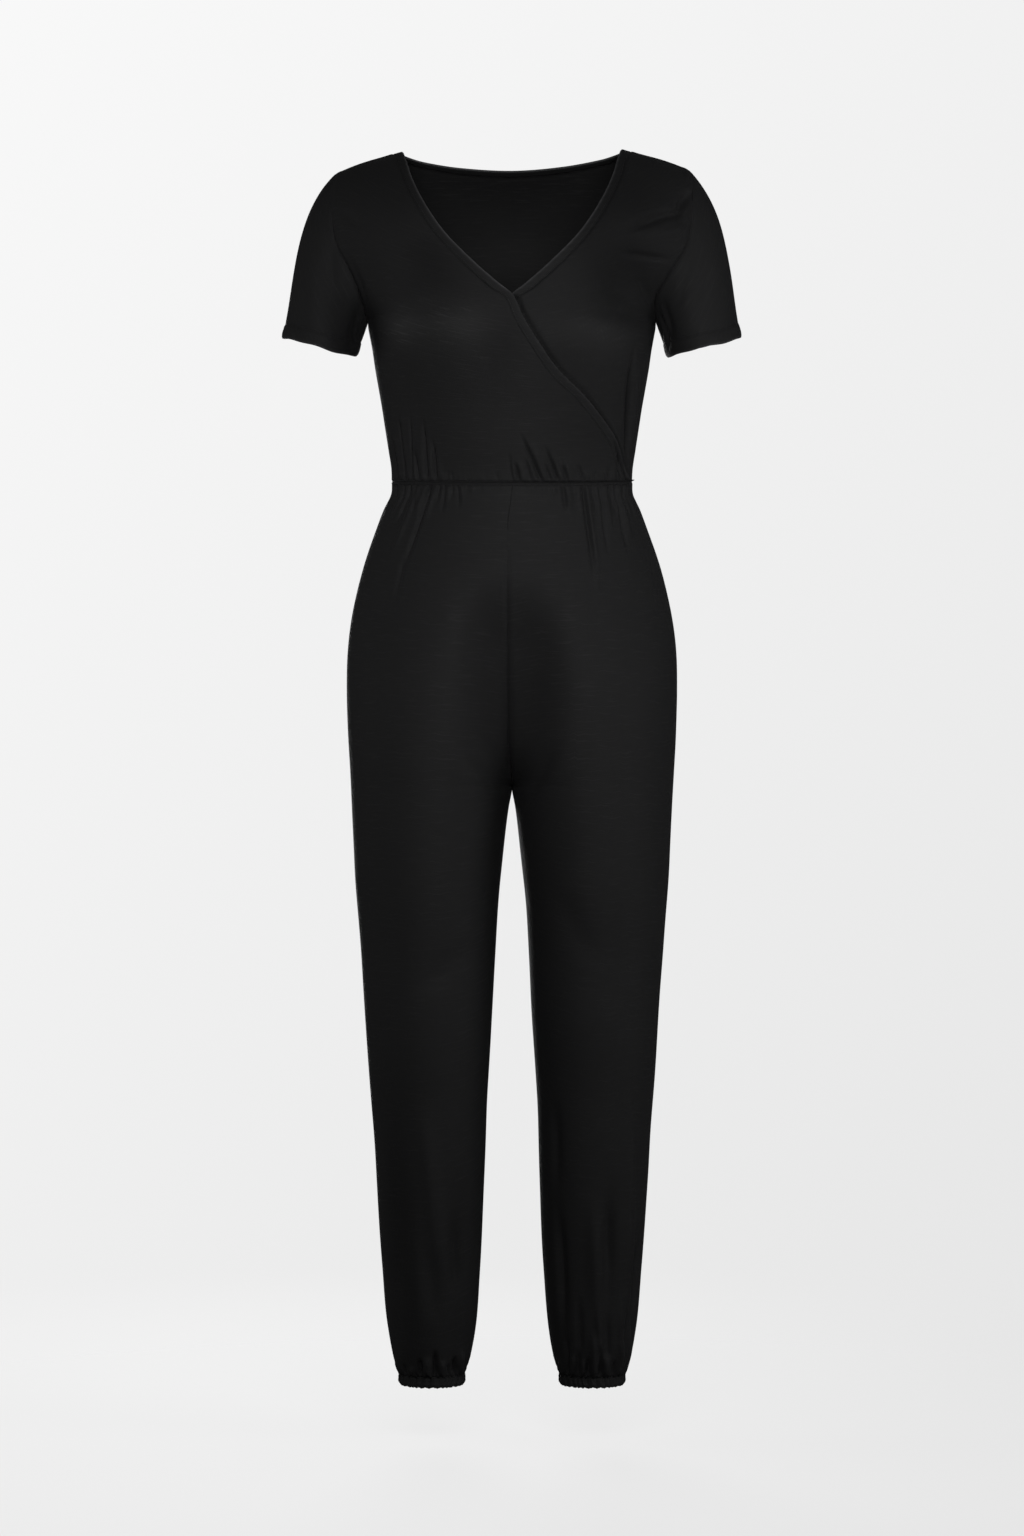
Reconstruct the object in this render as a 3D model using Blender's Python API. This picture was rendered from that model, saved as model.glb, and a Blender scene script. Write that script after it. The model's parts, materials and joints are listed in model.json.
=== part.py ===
"""Wrap-front jumpsuit in jersey, filled out as when worn: bodice, short sleeves and gathered trousers.

Every cut piece is its own closed cloth wall. The garment's form is worked out from sections of the
body and the legs; each piece is a grid of points on that form, pushed out by its folds, with the inner
face a wall's thickness further in. Metres, +Z up, the front faces -Y, and +X is the wearer's left.
The origin is midway between the shoulder seams, where a wearer's shoulders carry the garment.
"""
import math
from collections import namedtuple

import bmesh
import bpy
import numpy as np

# Cloth and seams
WALL = 0.0013           # jersey, with its nap
SEAM_GAP = 0.0003       # between neighbouring pieces
WRAP_LIFT = 0.0028      # from the under front to the one that lies on it
BAND_WIDTH = 0.009      # turned band on the neck and wrap edges
BAND_PROUD = 0.0004     # how far a band or casing stands off its cloth, out and in
TINY = 1e-4

# Heights, from the shoulder seams
WAIST = -0.3557         # middle of the waist elastic
UNDERARM = -0.1748
CHEST = -0.110          # where the body starts to round over to the shoulders
ARCH = 0.190            # length of cloth from there to the shoulder seam
SHOULDER = CHEST + ARCH
CROTCH = -0.694
CASING_TOP = -1.3543
HEM = -1.3662
ELASTIC_HEIGHT = 0.0042

# Upper body
NECK_HALF = 0.1230      # half the neck opening, at the shoulder seams
BACK_NECK_DROP = 0.052  # cloth from the shoulder seam's height to the middle of the back neck
SHOULDER_TILT = 0.012   # the left shoulder sits slightly higher
CROSSING = math.radians(30)  # over this angle each side of the middle one front rises over the other

# Sleeves
SLEEVE_HEM_OUT = 0.2150
SLEEVE_HEM_HEIGHT = -0.2044
SLEEVE_HALF_WIDTH = 0.0418
SLEEVE_HALF_DEPTH = 0.0530
SLEEVE_HEM_BACK = 0.004
SLEEVE_LEAN = math.radians(14.7)
SLEEVE_DROP = 0.85      # how strongly the sleeve leaves the armhole along its own axis
SLEEVE_CAP = 0.55       # and how strongly its cap rounds out over the shoulder tip

SLEEVE_ROWS = (0.0, 0.06, 0.14, 0.26, 0.40, 0.56, 0.72, 0.87, 1.0)
ARMHOLE_STEPS = (0.0, 0.012, 0.045, 0.10, 0.18, 0.29, 0.42, 0.56, 0.70, 0.85, 1.0)

BodySection = namedtuple("BodySection", "height half_width front back")
BODY = [
    BodySection(-0.3757, 0.1329, 0.0915, 0.0870),
    BodySection(WAIST, 0.1329, 0.0925, 0.0880),
    BodySection(-0.3424, 0.1335, 0.0940, 0.0900),
    BodySection(-0.3200, 0.1368, 0.0990, 0.0940),
    BodySection(-0.2977, 0.1402, 0.1040, 0.0980),
    BodySection(-0.2753, 0.1436, 0.1090, 0.1010),
    BodySection(-0.2530, 0.1475, 0.1140, 0.1040),
    BodySection(-0.2307, 0.1514, 0.1175, 0.1070),
    BodySection(-0.2083, 0.1547, 0.1200, 0.1090),
    BodySection(-0.1860, 0.1590, 0.1210, 0.1110),
    BodySection(UNDERARM, 0.1610, 0.1210, 0.1120),
    BodySection(-0.1650, 0.1690, 0.1205, 0.1125),
    BodySection(-0.1500, 0.1820, 0.1195, 0.1130),
    BodySection(-0.1300, 0.1950, 0.1175, 0.1130),
    BodySection(CHEST, 0.2060, 0.1150, 0.1125),
    BodySection(-0.0650, 0.2180, 0.1090, 0.1100),
    BodySection(-0.0200, 0.2220, 0.1020, 0.1050),
    BodySection(0.0300, 0.2220, 0.0960, 0.0990),
    BodySection(SHOULDER, 0.2220, 0.0920, 0.0950),
    BodySection(0.1000, 0.2220, 0.0905, 0.0935),
]

ShoulderPoint = namedtuple("ShoulderPoint", "out top")
SHOULDER_LINE = [
    ShoulderPoint(-0.0600, 0.0105),
    ShoulderPoint(0.0000, 0.0079),
    ShoulderPoint(0.0600, 0.0105),
    ShoulderPoint(0.1000, 0.0132),
    ShoulderPoint(0.1228, 0.0138),
    ShoulderPoint(0.1419, 0.0082),
    ShoulderPoint(0.1698, 0.0000),
    ShoulderPoint(0.1921, -0.0085),
    ShoulderPoint(0.2200, -0.0210),
]

ArmholePoint = namedtuple("ArmholePoint", "height out")
ARMHOLE = [
    ArmholePoint(UNDERARM, 0.1610),
    ArmholePoint(-0.1689, 0.1626),
    ArmholePoint(-0.1460, 0.1706),
    ArmholePoint(-0.1215, 0.1812),
    ArmholePoint(-0.1005, 0.1915),
    ArmholePoint(-0.0648, 0.1981),
    ArmholePoint(-0.0215, 0.2003),
    ArmholePoint(0.0272, 0.1995),
    ArmholePoint(SHOULDER, 0.1970),
]

# The free edge of a front: how far it reaches across the middle, up to the neck on its own side
EdgePoint = namedtuple("EdgePoint", "height across")
WRAP_EDGE = [
    EdgePoint(WAIST, 0.1324),
    EdgePoint(-0.3291, 0.1277),
    EdgePoint(-0.3097, 0.1200),
    EdgePoint(-0.2891, 0.1053),
    EdgePoint(-0.2657, 0.0798),
    EdgePoint(-0.2398, 0.0513),
    EdgePoint(-0.2065, 0.0267),
    EdgePoint(-0.1781, 0.0098),
    EdgePoint(-0.1660, 0.0050),
    EdgePoint(-0.1575, 0.0000),
    EdgePoint(-0.1476, -0.0123),
    EdgePoint(-0.1292, -0.0336),
    EdgePoint(-0.1087, -0.0548),
    EdgePoint(-0.0899, -0.0722),
    EdgePoint(-0.0686, -0.0872),
    EdgePoint(-0.0477, -0.0985),
    EdgePoint(-0.0194, -0.1092),
    EdgePoint(0.0232, -0.1172),
    EdgePoint(SHOULDER, -NECK_HALF),
]

# Soft fullness at the bust, from the cut of the fronts
BUST_OUT = 0.074
BUST_HEIGHT = -0.192
BUST_SPREAD = 0.044
BUST_RISE = 0.010

TrouserSection = namedtuple("TrouserSection", "height outer inner front back middle")
TROUSERS = [
    TrouserSection(-1.3900, 0.1268, 0.0530, 0.0405, 0.0415, 0.0260),
    TrouserSection(HEM, 0.1268, 0.0530, 0.0405, 0.0415, 0.0260),
    TrouserSection(CASING_TOP, 0.1262, 0.0534, 0.0400, 0.0410, 0.0260),
    TrouserSection(-1.3477, 0.1285, 0.0515, 0.0425, 0.0435, 0.0260),
    TrouserSection(-1.3370, 0.1318, 0.0480, 0.0465, 0.0470, 0.0260),
    TrouserSection(-1.3253, 0.1345, 0.0456, 0.0495, 0.0505, 0.0258),
    TrouserSection(-1.3030, 0.1382, 0.0420, 0.0530, 0.0545, 0.0255),
    TrouserSection(-1.2360, 0.1441, 0.0363, 0.0570, 0.0600, 0.0240),
    TrouserSection(-1.1466, 0.1502, 0.0324, 0.0625, 0.0660, 0.0200),
    TrouserSection(-1.0570, 0.1558, 0.0296, 0.0680, 0.0730, 0.0145),
    TrouserSection(-0.9679, 0.1620, 0.0243, 0.0760, 0.0780, 0.0080),
    TrouserSection(-0.8785, 0.1680, 0.0195, 0.0850, 0.0890, 0.0070),
    TrouserSection(-0.8340, 0.1711, 0.0170, 0.0910, 0.0950, 0.0060),
    TrouserSection(-0.7893, 0.1743, 0.0132, 0.0970, 0.1020, 0.0055),
    TrouserSection(-0.7450, 0.1765, 0.0083, 0.1020, 0.1080, 0.0050),
    TrouserSection(-0.7200, 0.1777, 0.0048, 0.1040, 0.1115, 0.0045),
    TrouserSection(CROTCH, 0.1790, 0.0003, 0.1060, 0.1160, 0.0040),
    TrouserSection(-0.6774, 0.1798, 0.0003, 0.1075, 0.1200, 0.0036),
    TrouserSection(-0.6328, 0.1821, 0.0003, 0.1105, 0.1290, 0.0028),
    TrouserSection(-0.5880, 0.1832, 0.0003, 0.1125, 0.1340, 0.0020),
    TrouserSection(-0.5434, 0.1821, 0.0003, 0.1120, 0.1340, 0.0014),
    TrouserSection(-0.4987, 0.1760, 0.0003, 0.1090, 0.1270, 0.0008),
    TrouserSection(-0.4540, 0.1653, 0.0003, 0.1045, 0.1160, 0.0004),
    TrouserSection(-0.4094, 0.1503, 0.0003, 0.0980, 0.1010, 0.0001),
    TrouserSection(-0.3870, 0.1420, 0.0003, 0.0948, 0.0935, 0.0000),
    TrouserSection(-0.3690, 0.1338, 0.0003, 0.0928, 0.0888, 0.0000),
    TrouserSection(WAIST, 0.1329, 0.0003, 0.0925, 0.0880, 0.0000),
    TrouserSection(-0.3400, 0.1329, 0.0003, 0.0925, 0.0880, 0.0000),
]
LEGS_START = -0.400     # below this the halves round off towards two legs
PARTING = 2.6           # how late the middle hollows: higher is nearer the crotch

# Gathers: angle from the middle at the seam and at the far end, and length along the cloth.
# A ridge stands proud by rise and is as wide at its foot as spread on each side.
Gather = namedtuple("Gather", "start end length rise")
GATHER_SPREAD = math.radians(2.4)
SEAM_SWELL = 0.45       # a gather's share of its rise where it leaves the seam
SWELL_LENGTH = 0.012    # and the length in which it grows by the rest
END_MARGIN = 0.02       # angle kept between a gather and the ends of its piece
BODICE_FRONT_GATHERS = [
    Gather(-81, -80, 0.045, 0.0022), Gather(-72, -70, 0.060, 0.0030), Gather(-64, -63, 0.064, 0.0032),
    Gather(-57, -56, 0.050, 0.0026), Gather(-50, -49, 0.058, 0.0030), Gather(-43, -43, 0.036, 0.0024),
    Gather(-34, -34, 0.014, 0.0016), Gather(2, -2, 0.018, 0.0018), Gather(10, 2, 0.042, 0.0030),
    Gather(18, 9, 0.040, 0.0028), Gather(25, 19, 0.034, 0.0028), Gather(31, 29, 0.018, 0.0022),
    Gather(38, 36, 0.014, 0.0018), Gather(48, 46, 0.014, 0.0016), Gather(62, 59, 0.018, 0.0018),
]
BODICE_BACK_GATHERS = [
    Gather(-80, -79, 0.042, 0.0024), Gather(-70, -69, 0.052, 0.0030), Gather(-58, -58, 0.030, 0.0024),
    Gather(-49, -48, 0.052, 0.0030), Gather(-39, -39, 0.030, 0.0022), Gather(-29, -29, 0.040, 0.0026),
    Gather(-17, -17, 0.030, 0.0022), Gather(-7, -7, 0.017, 0.0018), Gather(5, 5, 0.030, 0.0024),
    Gather(17, 17, 0.017, 0.0018), Gather(28, 28, 0.042, 0.0028), Gather(38, 38, 0.030, 0.0022),
    Gather(49, 49, 0.052, 0.0030), Gather(59, 58, 0.042, 0.0026), Gather(69, 68, 0.030, 0.0024),
    Gather(79, 78, 0.042, 0.0026),
]
TROUSER_FRONT_GATHERS = [
    Gather(-82, -81, 0.050, 0.0024), Gather(-71, -70, 0.034, 0.0024), Gather(-61, -61, 0.055, 0.0028),
    Gather(-51, -53, 0.070, 0.0030), Gather(-40, -46, 0.112, 0.0036), Gather(-30, -29, 0.034, 0.0024),
    Gather(-19, -19, 0.014, 0.0014), Gather(12, 12, 0.014, 0.0014), Gather(22, 21, 0.030, 0.0022),
    Gather(32, 30, 0.112, 0.0036), Gather(42, 39, 0.084, 0.0030), Gather(52, 50, 0.066, 0.0030),
    Gather(61, 60, 0.050, 0.0028), Gather(71, 70, 0.034, 0.0024), Gather(81, 80, 0.052, 0.0024),
]
TROUSER_BACK_GATHERS = [
    Gather(-80, -80, 0.055, 0.0026), Gather(-69, -69, 0.082, 0.0032), Gather(-58, -59, 0.050, 0.0028),
    Gather(-47, -49, 0.100, 0.0036), Gather(-37, -38, 0.034, 0.0024), Gather(-27, -29, 0.078, 0.0032),
    Gather(-16, -17, 0.034, 0.0022), Gather(-7, -7, 0.018, 0.0016), Gather(8, 8, 0.034, 0.0022),
    Gather(18, 19, 0.070, 0.0030), Gather(29, 30, 0.034, 0.0022), Gather(39, 41, 0.092, 0.0036),
    Gather(50, 52, 0.055, 0.0028), Gather(61, 62, 0.084, 0.0032), Gather(71, 72, 0.050, 0.0026),
    Gather(81, 81, 0.034, 0.0022),
]

# Ankle gathers on one quarter of a leg, as angles from the side seam to the inseam
ANKLE_GATHERS = [
    Gather(16, 14, 0.040, 0.0030), Gather(42, 41, 0.028, 0.0026), Gather(68, 66, 0.046, 0.0034),
    Gather(97, 98, 0.034, 0.0028), Gather(125, 127, 0.042, 0.0032), Gather(153, 155, 0.028, 0.0026),
]
ANKLE_SPREAD = math.radians(12)
ANKLE_REACH = 0.048     # the longest ankle gather

# Long soft folds down the legs: angle from the side seam towards the inseam
LegFold = namedtuple("LegFold", "side face top bottom top_angle bottom_angle rise spread")
LEG_FOLDS = [
    LegFold("right", "front", -1.150, -1.300, 44, 40, -0.0022, 11),
    LegFold("right", "front", -1.040, -1.290, 72, 82, 0.0026, 13),
    LegFold("right", "front", -1.170, -1.290, 112, 116, -0.0020, 9),
    LegFold("left", "front", -1.040, -1.320, 132, 128, -0.0024, 10),
    LegFold("left", "front", -1.150, -1.330, 92, 84, 0.0024, 12),
    LegFold("left", "front", -1.040, -1.290, 52, 48, 0.0022, 12),
    LegFold("right", "back", -1.060, -1.300, 62, 58, -0.0024, 12),
    LegFold("right", "back", -1.120, -1.310, 118, 122, 0.0024, 12),
    LegFold("left", "back", -1.080, -1.310, 58, 66, 0.0024, 12),
    LegFold("left", "back", -1.040, -1.290, 112, 108, -0.0024, 12),
]

# Rows of each piece: the height and the number of columns there
PieceRow = namedtuple("PieceRow", "height columns")
BODICE_BOTTOM = WAIST + ELASTIC_HEIGHT / 2 + SEAM_GAP
TROUSER_TOP = WAIST - ELASTIC_HEIGHT / 2 - SEAM_GAP
BODICE_ROWS = [
    PieceRow(BODICE_BOTTOM, 17), PieceRow(-0.3470, 17), PieceRow(-0.3370, 17), PieceRow(-0.3250, 17),
    PieceRow(-0.3130, 17), PieceRow(-0.3010, 17), PieceRow(-0.2895, 16), PieceRow(-0.2785, 16),
    PieceRow(-0.2675, 16), PieceRow(-0.2565, 15), PieceRow(-0.2450, 15), PieceRow(-0.2335, 14),
    PieceRow(-0.2215, 14), PieceRow(-0.2095, 14), PieceRow(-0.1975, 14), PieceRow(-0.1855, 14),
]
BACK_FEWER = 2          # columns that the back has fewer than a front
YOKE_COLUMNS = (14, 14, 14, 13, 13, 12, 11, 10, 9, 8, 7)
TROUSER_ROWS = [
    PieceRow(TROUSER_TOP, 11), PieceRow(-0.3640, 11), PieceRow(-0.3750, 11), PieceRow(-0.3920, 11),
    PieceRow(-0.4150, 11), PieceRow(-0.4450, 11), PieceRow(-0.4780, 11), PieceRow(-0.5200, 11),
    PieceRow(-0.5700, 11), PieceRow(-0.6150, 12), PieceRow(-0.6450, 12), PieceRow(-0.6680, 12),
    PieceRow(-0.6840, 13), PieceRow(CROTCH, 13), PieceRow(-0.7080, 13), PieceRow(-0.7400, 12),
    PieceRow(-0.7900, 12), PieceRow(-0.8500, 11), PieceRow(-0.9150, 11), PieceRow(-0.9750, 10),
    PieceRow(-1.0350, 10), PieceRow(-1.0950, 10), PieceRow(-1.1550, 10), PieceRow(-1.2100, 10),
    PieceRow(-1.2600, 10), PieceRow(-1.2900, 10), PieceRow(-1.3120, 10), PieceRow(-1.3300, 10),
    PieceRow(-1.3440, 10), PieceRow(CASING_TOP, 10),
]
SHOULDER_COLUMNS = 4    # on the back, from each armhole to the neck
NECK_COLUMNS = 15
CASING_COLUMNS = 40
ELASTIC_COLUMNS = 64

Row = namedtuple("Row", "across outer inner")


def smooth(table, column, at):
    """Value of a table's column on the smooth curve through its rows; the first column is the key."""
    keys = np.array([row[0] for row in table])
    values = np.array([getattr(row, column) for row in table])
    slopes = np.gradient(values, keys)
    at = np.asarray(at, float)
    i = np.clip(np.searchsorted(keys, at) - 1, 0, len(keys) - 2)
    span = keys[i + 1] - keys[i]
    t = (at - keys[i]) / span
    start = (1 + 2 * t) * (1 - t) ** 2 * values[i] + t * (1 - t) ** 2 * span * slopes[i]
    end = t * t * (3 - 2 * t) * values[i + 1] + t * t * (t - 1) * span * slopes[i + 1]
    return start + end


def ease(value):
    """0 to 1 with level ends."""
    t = np.clip(value, 0.0, 1.0)
    return t * t * (3 - 2 * t)


def body(angle, height, face):
    """Point of the upper body: angle from the middle to a side, height up the cloth, face -1 is the front."""
    angle, height = np.broadcast_arrays(np.asarray(angle, float), np.asarray(height, float))
    climb = np.clip((height - CHEST) / ARCH, 0, None) * math.pi / 2
    out = smooth(BODY, "half_width", height) * np.sin(angle)
    depth = smooth(BODY, "front" if face < 0 else "back", height)
    top = smooth(SHOULDER_LINE, "top", np.abs(out)) + SHOULDER_TILT * out
    up = np.minimum(height, CHEST) + (top - CHEST) * np.sin(climb)
    return np.stack([out, face * depth * np.cos(angle) * np.cos(climb), up], -1)


def leg(angle, height, face):
    """Point of the left half of the trousers: angle from the side seam to the middle seam or inseam.

    The outer quarter is a round about the leg's centre. The inner one starts as a level front and falls
    back to a quarter round at the crotch, where the halves have become two legs.
    """
    angle, height = np.broadcast_arrays(np.asarray(angle, float), np.asarray(height, float))
    outer = smooth(TROUSERS, "outer", height)
    inner = np.where(height < CROTCH, smooth(TROUSERS, "inner", height), 0)
    depth = smooth(TROUSERS, "front" if face < 0 else "back", height)
    share = leg_share(height)
    centre = inner + share * (outer - inner) / 2
    hollow = np.clip((LEGS_START - height) / (LEGS_START - CROTCH), 0.05, 1) ** PARTING
    bend = np.arcsin(hollow) * (angle - math.pi / 2) / (math.pi / 2 * np.maximum(share, TINY))
    outside = angle <= math.pi / 2
    out = np.where(outside, centre + (outer - centre) * np.cos(angle),
                   centre - (centre - inner) * np.sin(bend) / hollow)
    deep = np.where(outside, np.sin(angle), np.cos(bend))
    return np.stack([out, smooth(TROUSERS, "middle", height) + face * depth * deep, height], -1)


def leg_share(height):
    """0 where a half is one quarter round, 1 where it is a leg's whole half round."""
    return ease((LEGS_START - np.asarray(height, float)) / (LEGS_START - CROTCH))


def middle_angle(height):
    """Angle at which a half's section meets the middle seam, or the inseam below the crotch."""
    return math.pi / 2 * (1 + float(leg_share(height)))


def outward(form, angle, height, face):
    """Unit normals of a form, facing away from the wearer."""
    step = 1e-4
    along = form(angle + step, height, face) - form(angle - step, height, face)
    up = form(angle, height + step, face) - form(angle, height - step, face)
    normal = np.cross(along, up) * (-face if form is body else face)
    normal /= np.linalg.norm(normal, axis=-1, keepdims=True)
    return normal


def ridges(gathers, angle, distance, spread):
    """How far the gathers that start at a seam push the cloth out, at a distance from that seam."""
    total = np.zeros_like(angle)
    for gather in gathers:
        run = distance / gather.length
        if run >= 1:
            continue
        centre = math.radians(gather.start + (gather.end - gather.start) * run)
        swell = min(1.0, SEAM_SWELL + distance / SWELL_LENGTH) * (1 - run)
        total = np.maximum(total, gather.rise * swell * ease(1 - np.abs(angle - centre) / spread))
    return total


def fold_columns(columns, gathers, distance, spread):
    """Base columns plus a ridge and its two feet for each gather that reaches this far."""
    low, high = columns[0], columns[-1]
    extra = []
    for gather in gathers:
        run = distance / gather.length
        if run < 1:
            centre = math.radians(gather.start + (gather.end - gather.start) * run)
            extra += [a for a in (centre - spread, centre, centre + spread)
                      if low + END_MARGIN < a < high - END_MARGIN]
    kept = [a for a in columns if a in (low, high) or all(abs(a - e) > spread / 2 for e in extra)]
    merged = sorted(kept + extra)
    result = [merged[0]]
    for angle in merged[1:]:
        if angle - result[-1] > spread / 3:
            result.append(angle)
    result[-1] = high
    return np.array(result)


def wall_row(form, angles, heights, face, rise, thickness=WALL, sink=0.0):
    """One row of a piece: its outer points, and its inner points a wall's thickness along the normal."""
    base = form(angles, heights, face)
    normal = outward(form, angles, heights, face)
    rise = np.broadcast_to(rise, angles.shape)[:, None]
    outer = base + normal * (rise + sink)
    inner = base + normal * (rise - thickness - sink)
    span = angles[-1] - angles[0]
    return Row((angles - angles[0]) / span, outer, inner)


def part_at_seam(row, face, middle=0.0):
    """Keeps a front or back on its own side of the side and shoulder seams, half a gap away."""
    for points in (row.outer, row.inner):
        offset = face * (points[:, 1] - middle)
        points[:, 1] = middle + face * np.maximum(offset, SEAM_GAP / 2)
    return row


def mirrored(rows):
    flip = np.array([-1.0, 1.0, 1.0])
    return [Row(row.across, row.outer * flip, row.inner * flip) for row in rows]


def steps(lower, upper):
    """Walks along two rows at once: which of them moves on to its next point."""
    i = j = 0
    while i < len(lower) - 1 or j < len(upper) - 1:
        next_low = lower[i + 1] if i < len(lower) - 1 else math.inf
        next_up = upper[j + 1] if j < len(upper) - 1 else math.inf
        low = next_low <= next_up + 1e-4
        up = next_up <= next_low + 1e-4
        yield i, j, low, up
        i += low
        j += up


def band_faces(bm, lower, upper, lower_across, upper_across):
    """Faces between two rows of points, which may differ in number."""
    for i, j, low, up in steps(lower_across, upper_across):
        corners = [lower[i]]
        if low:
            corners.append(lower[i + 1])
        if up:
            corners.append(upper[j + 1])
        corners.append(upper[j])
        bm.faces.new(corners)


def new_object(name, bm):
    bmesh.ops.recalc_face_normals(bm, faces=bm.faces)
    if bm.calc_volume(signed=True) < 0:
        bmesh.ops.reverse_faces(bm, faces=bm.faces)
    mesh = bpy.data.meshes.new(name)
    bm.to_mesh(mesh)
    bm.free()
    mesh.shade_smooth()
    mesh.set_sharp_from_angle(angle=math.radians(50))
    mesh.materials.append(JERSEY)
    piece = bpy.data.objects.new(name, mesh)
    COLLECTION.objects.link(piece)
    return piece


def cloth(name, rows, ring=False):
    """A closed wall through rows of outer and inner points; a ring's rows join end to end."""
    bm = bmesh.new()
    layers = []
    for part in ("outer", "inner"):
        layer = []
        for row in rows:
            points = getattr(row, part)
            verts = [bm.verts.new(point) for point in (points[:-1] if ring else points)]
            layer.append(verts + verts[:1] if ring else verts)
        layers.append(layer)
    outer, inner = layers
    for k in range(len(rows) - 1):
        for layer in layers:
            band_faces(bm, layer[k], layer[k + 1], rows[k].across, rows[k + 1].across)
        if not ring:
            for end in (0, -1):
                bm.faces.new((outer[k][end], outer[k + 1][end], inner[k + 1][end], inner[k][end]))
    for k in (0, -1):
        for i in range(len(outer[k]) - 1):
            bm.faces.new((outer[k][i], outer[k][i + 1], inner[k][i + 1], inner[k][i]))
    return new_object(name, bm)


def armhole_angle(height):
    """Angle of a bodice's outer edge: the side seam below the underarm, the armhole above it."""
    if height <= UNDERARM:
        return math.pi / 2
    return angle_of(smooth(ARMHOLE, "out", height), height)


def angle_of(out, height):
    """Angle from the middle of the point of the body that is this far out."""
    return float(np.arcsin(np.clip(out / smooth(BODY, "half_width", height), -1, 1)))


def edge_angle(height, inset):
    """Angle of a front's free edge at a height, moved in from the edge by inset."""
    step = 1e-3
    below, across, above = smooth(WRAP_EDGE, "across", [height - step, height, height + step])
    slope = (above - below) / (2 * step)
    return angle_of(across - inset * math.hypot(1, slope), height)


def bust(points):
    """Soft fullness on each side of the middle."""
    total = 0
    for side in (-1, 1):
        across = (points[..., 0] - side * BUST_OUT) / BUST_SPREAD
        up = (points[..., 2] - BUST_HEIGHT) / BUST_SPREAD
        total = total + BUST_RISE * np.exp(-across ** 2 - up ** 2)
    return total


def front_rise(angles, height, side, upper):
    """Lift of a front: bust, the wrap's share and the gathers. side is the x sign of its shoulder."""
    shared = ease((angles * side + CROSSING) / (2 * CROSSING))   # 1 on its own side
    lift = WRAP_LIFT * (1 - shared) * (1 if upper else 0)
    sink = WRAP_LIFT * (1 - shared) * (0 if upper else 1)
    rise = bust(body(angles, height, -1)) + lift - sink
    if upper:
        rise = rise + ridges(BODICE_FRONT_GATHERS, angles, height - WAIST, GATHER_SPREAD)
    return rise


def yoke_heights():
    return [UNDERARM + (SHOULDER - UNDERARM) * step for step in ARMHOLE_STEPS]


def front_heights():
    yoke = [PieceRow(height, columns) for height, columns in zip(yoke_heights(), YOKE_COLUMNS)]
    return BODICE_ROWS + yoke


def front_rows(side):
    """Rows of one front, from its own side across to its free edge; the right one lies on top."""
    rows = []
    upper = side < 0
    for height, count in front_heights():
        low = side * armhole_angle(height)
        high = -side * edge_angle(height, BAND_WIDTH + SEAM_GAP)
        angles = np.linspace(low, high, count)
        if upper:
            angles = fold_columns(angles, BODICE_FRONT_GATHERS, height - WAIST, GATHER_SPREAD)
        rise = front_rise(angles, height, side, upper)
        rows.append(part_at_seam(wall_row(body, angles, height, -1, rise), -1))
    return rows


def front_band_rows(side):
    rows = []
    for height, _ in front_heights():
        angles = -side * np.array([edge_angle(height, inset) for inset in (BAND_WIDTH, BAND_WIDTH / 2, 0)])
        rise = front_rise(angles, height, side, side < 0)
        rows.append(part_at_seam(wall_row(body, angles, height, -1, rise, sink=BAND_PROUD), -1))
    return rows


def back_top(angles, inset):
    """Height of the back's upper edge: the shoulder seams, and between them the neck curve."""
    half = math.asin((NECK_HALF + inset) / BODY[-1].half_width)
    within = np.clip(1 - (angles / half) ** 2, 0, 1)
    return SHOULDER - (BACK_NECK_DROP + inset * 1.15) * within ** 0.3


def neck_columns():
    """Places across the back neck from -1 to 1, closer together towards its corners."""
    return -np.cos(np.linspace(0, math.pi, NECK_COLUMNS))


def back_rows():
    rows = []
    for height, count in BODICE_ROWS:
        angles = np.linspace(-math.pi / 2, math.pi / 2, count - BACK_FEWER)
        distance = height - WAIST
        angles = fold_columns(angles, BODICE_BACK_GATHERS, distance, GATHER_SPREAD)
        rise = ridges(BODICE_BACK_GATHERS, angles, distance, GATHER_SPREAD)
        rows.append(part_at_seam(wall_row(body, angles, height, 1, rise), 1))
    top_end = armhole_angle(SHOULDER)
    corner = math.asin((NECK_HALF + BAND_WIDTH + SEAM_GAP) / BODY[-1].half_width) / top_end
    shoulder = np.linspace(-1, -corner, SHOULDER_COLUMNS)[:-1]
    spots = np.concatenate([shoulder, corner * neck_columns(), -shoulder[::-1]])
    for step, edge_height in zip(ARMHOLE_STEPS, yoke_heights()):
        top = back_top(spots * top_end, BAND_WIDTH + SEAM_GAP)
        heights = UNDERARM + (top - UNDERARM) * step
        angles = spots * armhole_angle(edge_height)
        rows.append(part_at_seam(wall_row(body, angles, heights, 1, 0.0), 1))
    return rows


def back_band_rows():
    """The back neck's band, in rows from its seam to its free edge."""
    rows = []
    for inset in (BAND_WIDTH, BAND_WIDTH / 2, 0.0):
        half = math.asin((NECK_HALF + inset) / BODY[-1].half_width)
        angles = half * neck_columns()
        heights = back_top(angles, inset)
        rows.append(part_at_seam(wall_row(body, angles, heights, 1, 0.0, sink=BAND_PROUD), 1))
    return rows


def armhole_loop(side):
    """Points and bodice normals round an armhole: underarm, up the front, down the back."""
    points, normals = [], []
    for face, heights in ((-1, yoke_heights()), (1, yoke_heights()[-2:0:-1])):
        for height in heights:
            angle = np.array([side * armhole_angle(height)])
            points.append(body(angle, height, face)[0])
            normals.append(outward(body, angle, height, face)[0])
    return np.array(points), np.array(normals)


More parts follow.
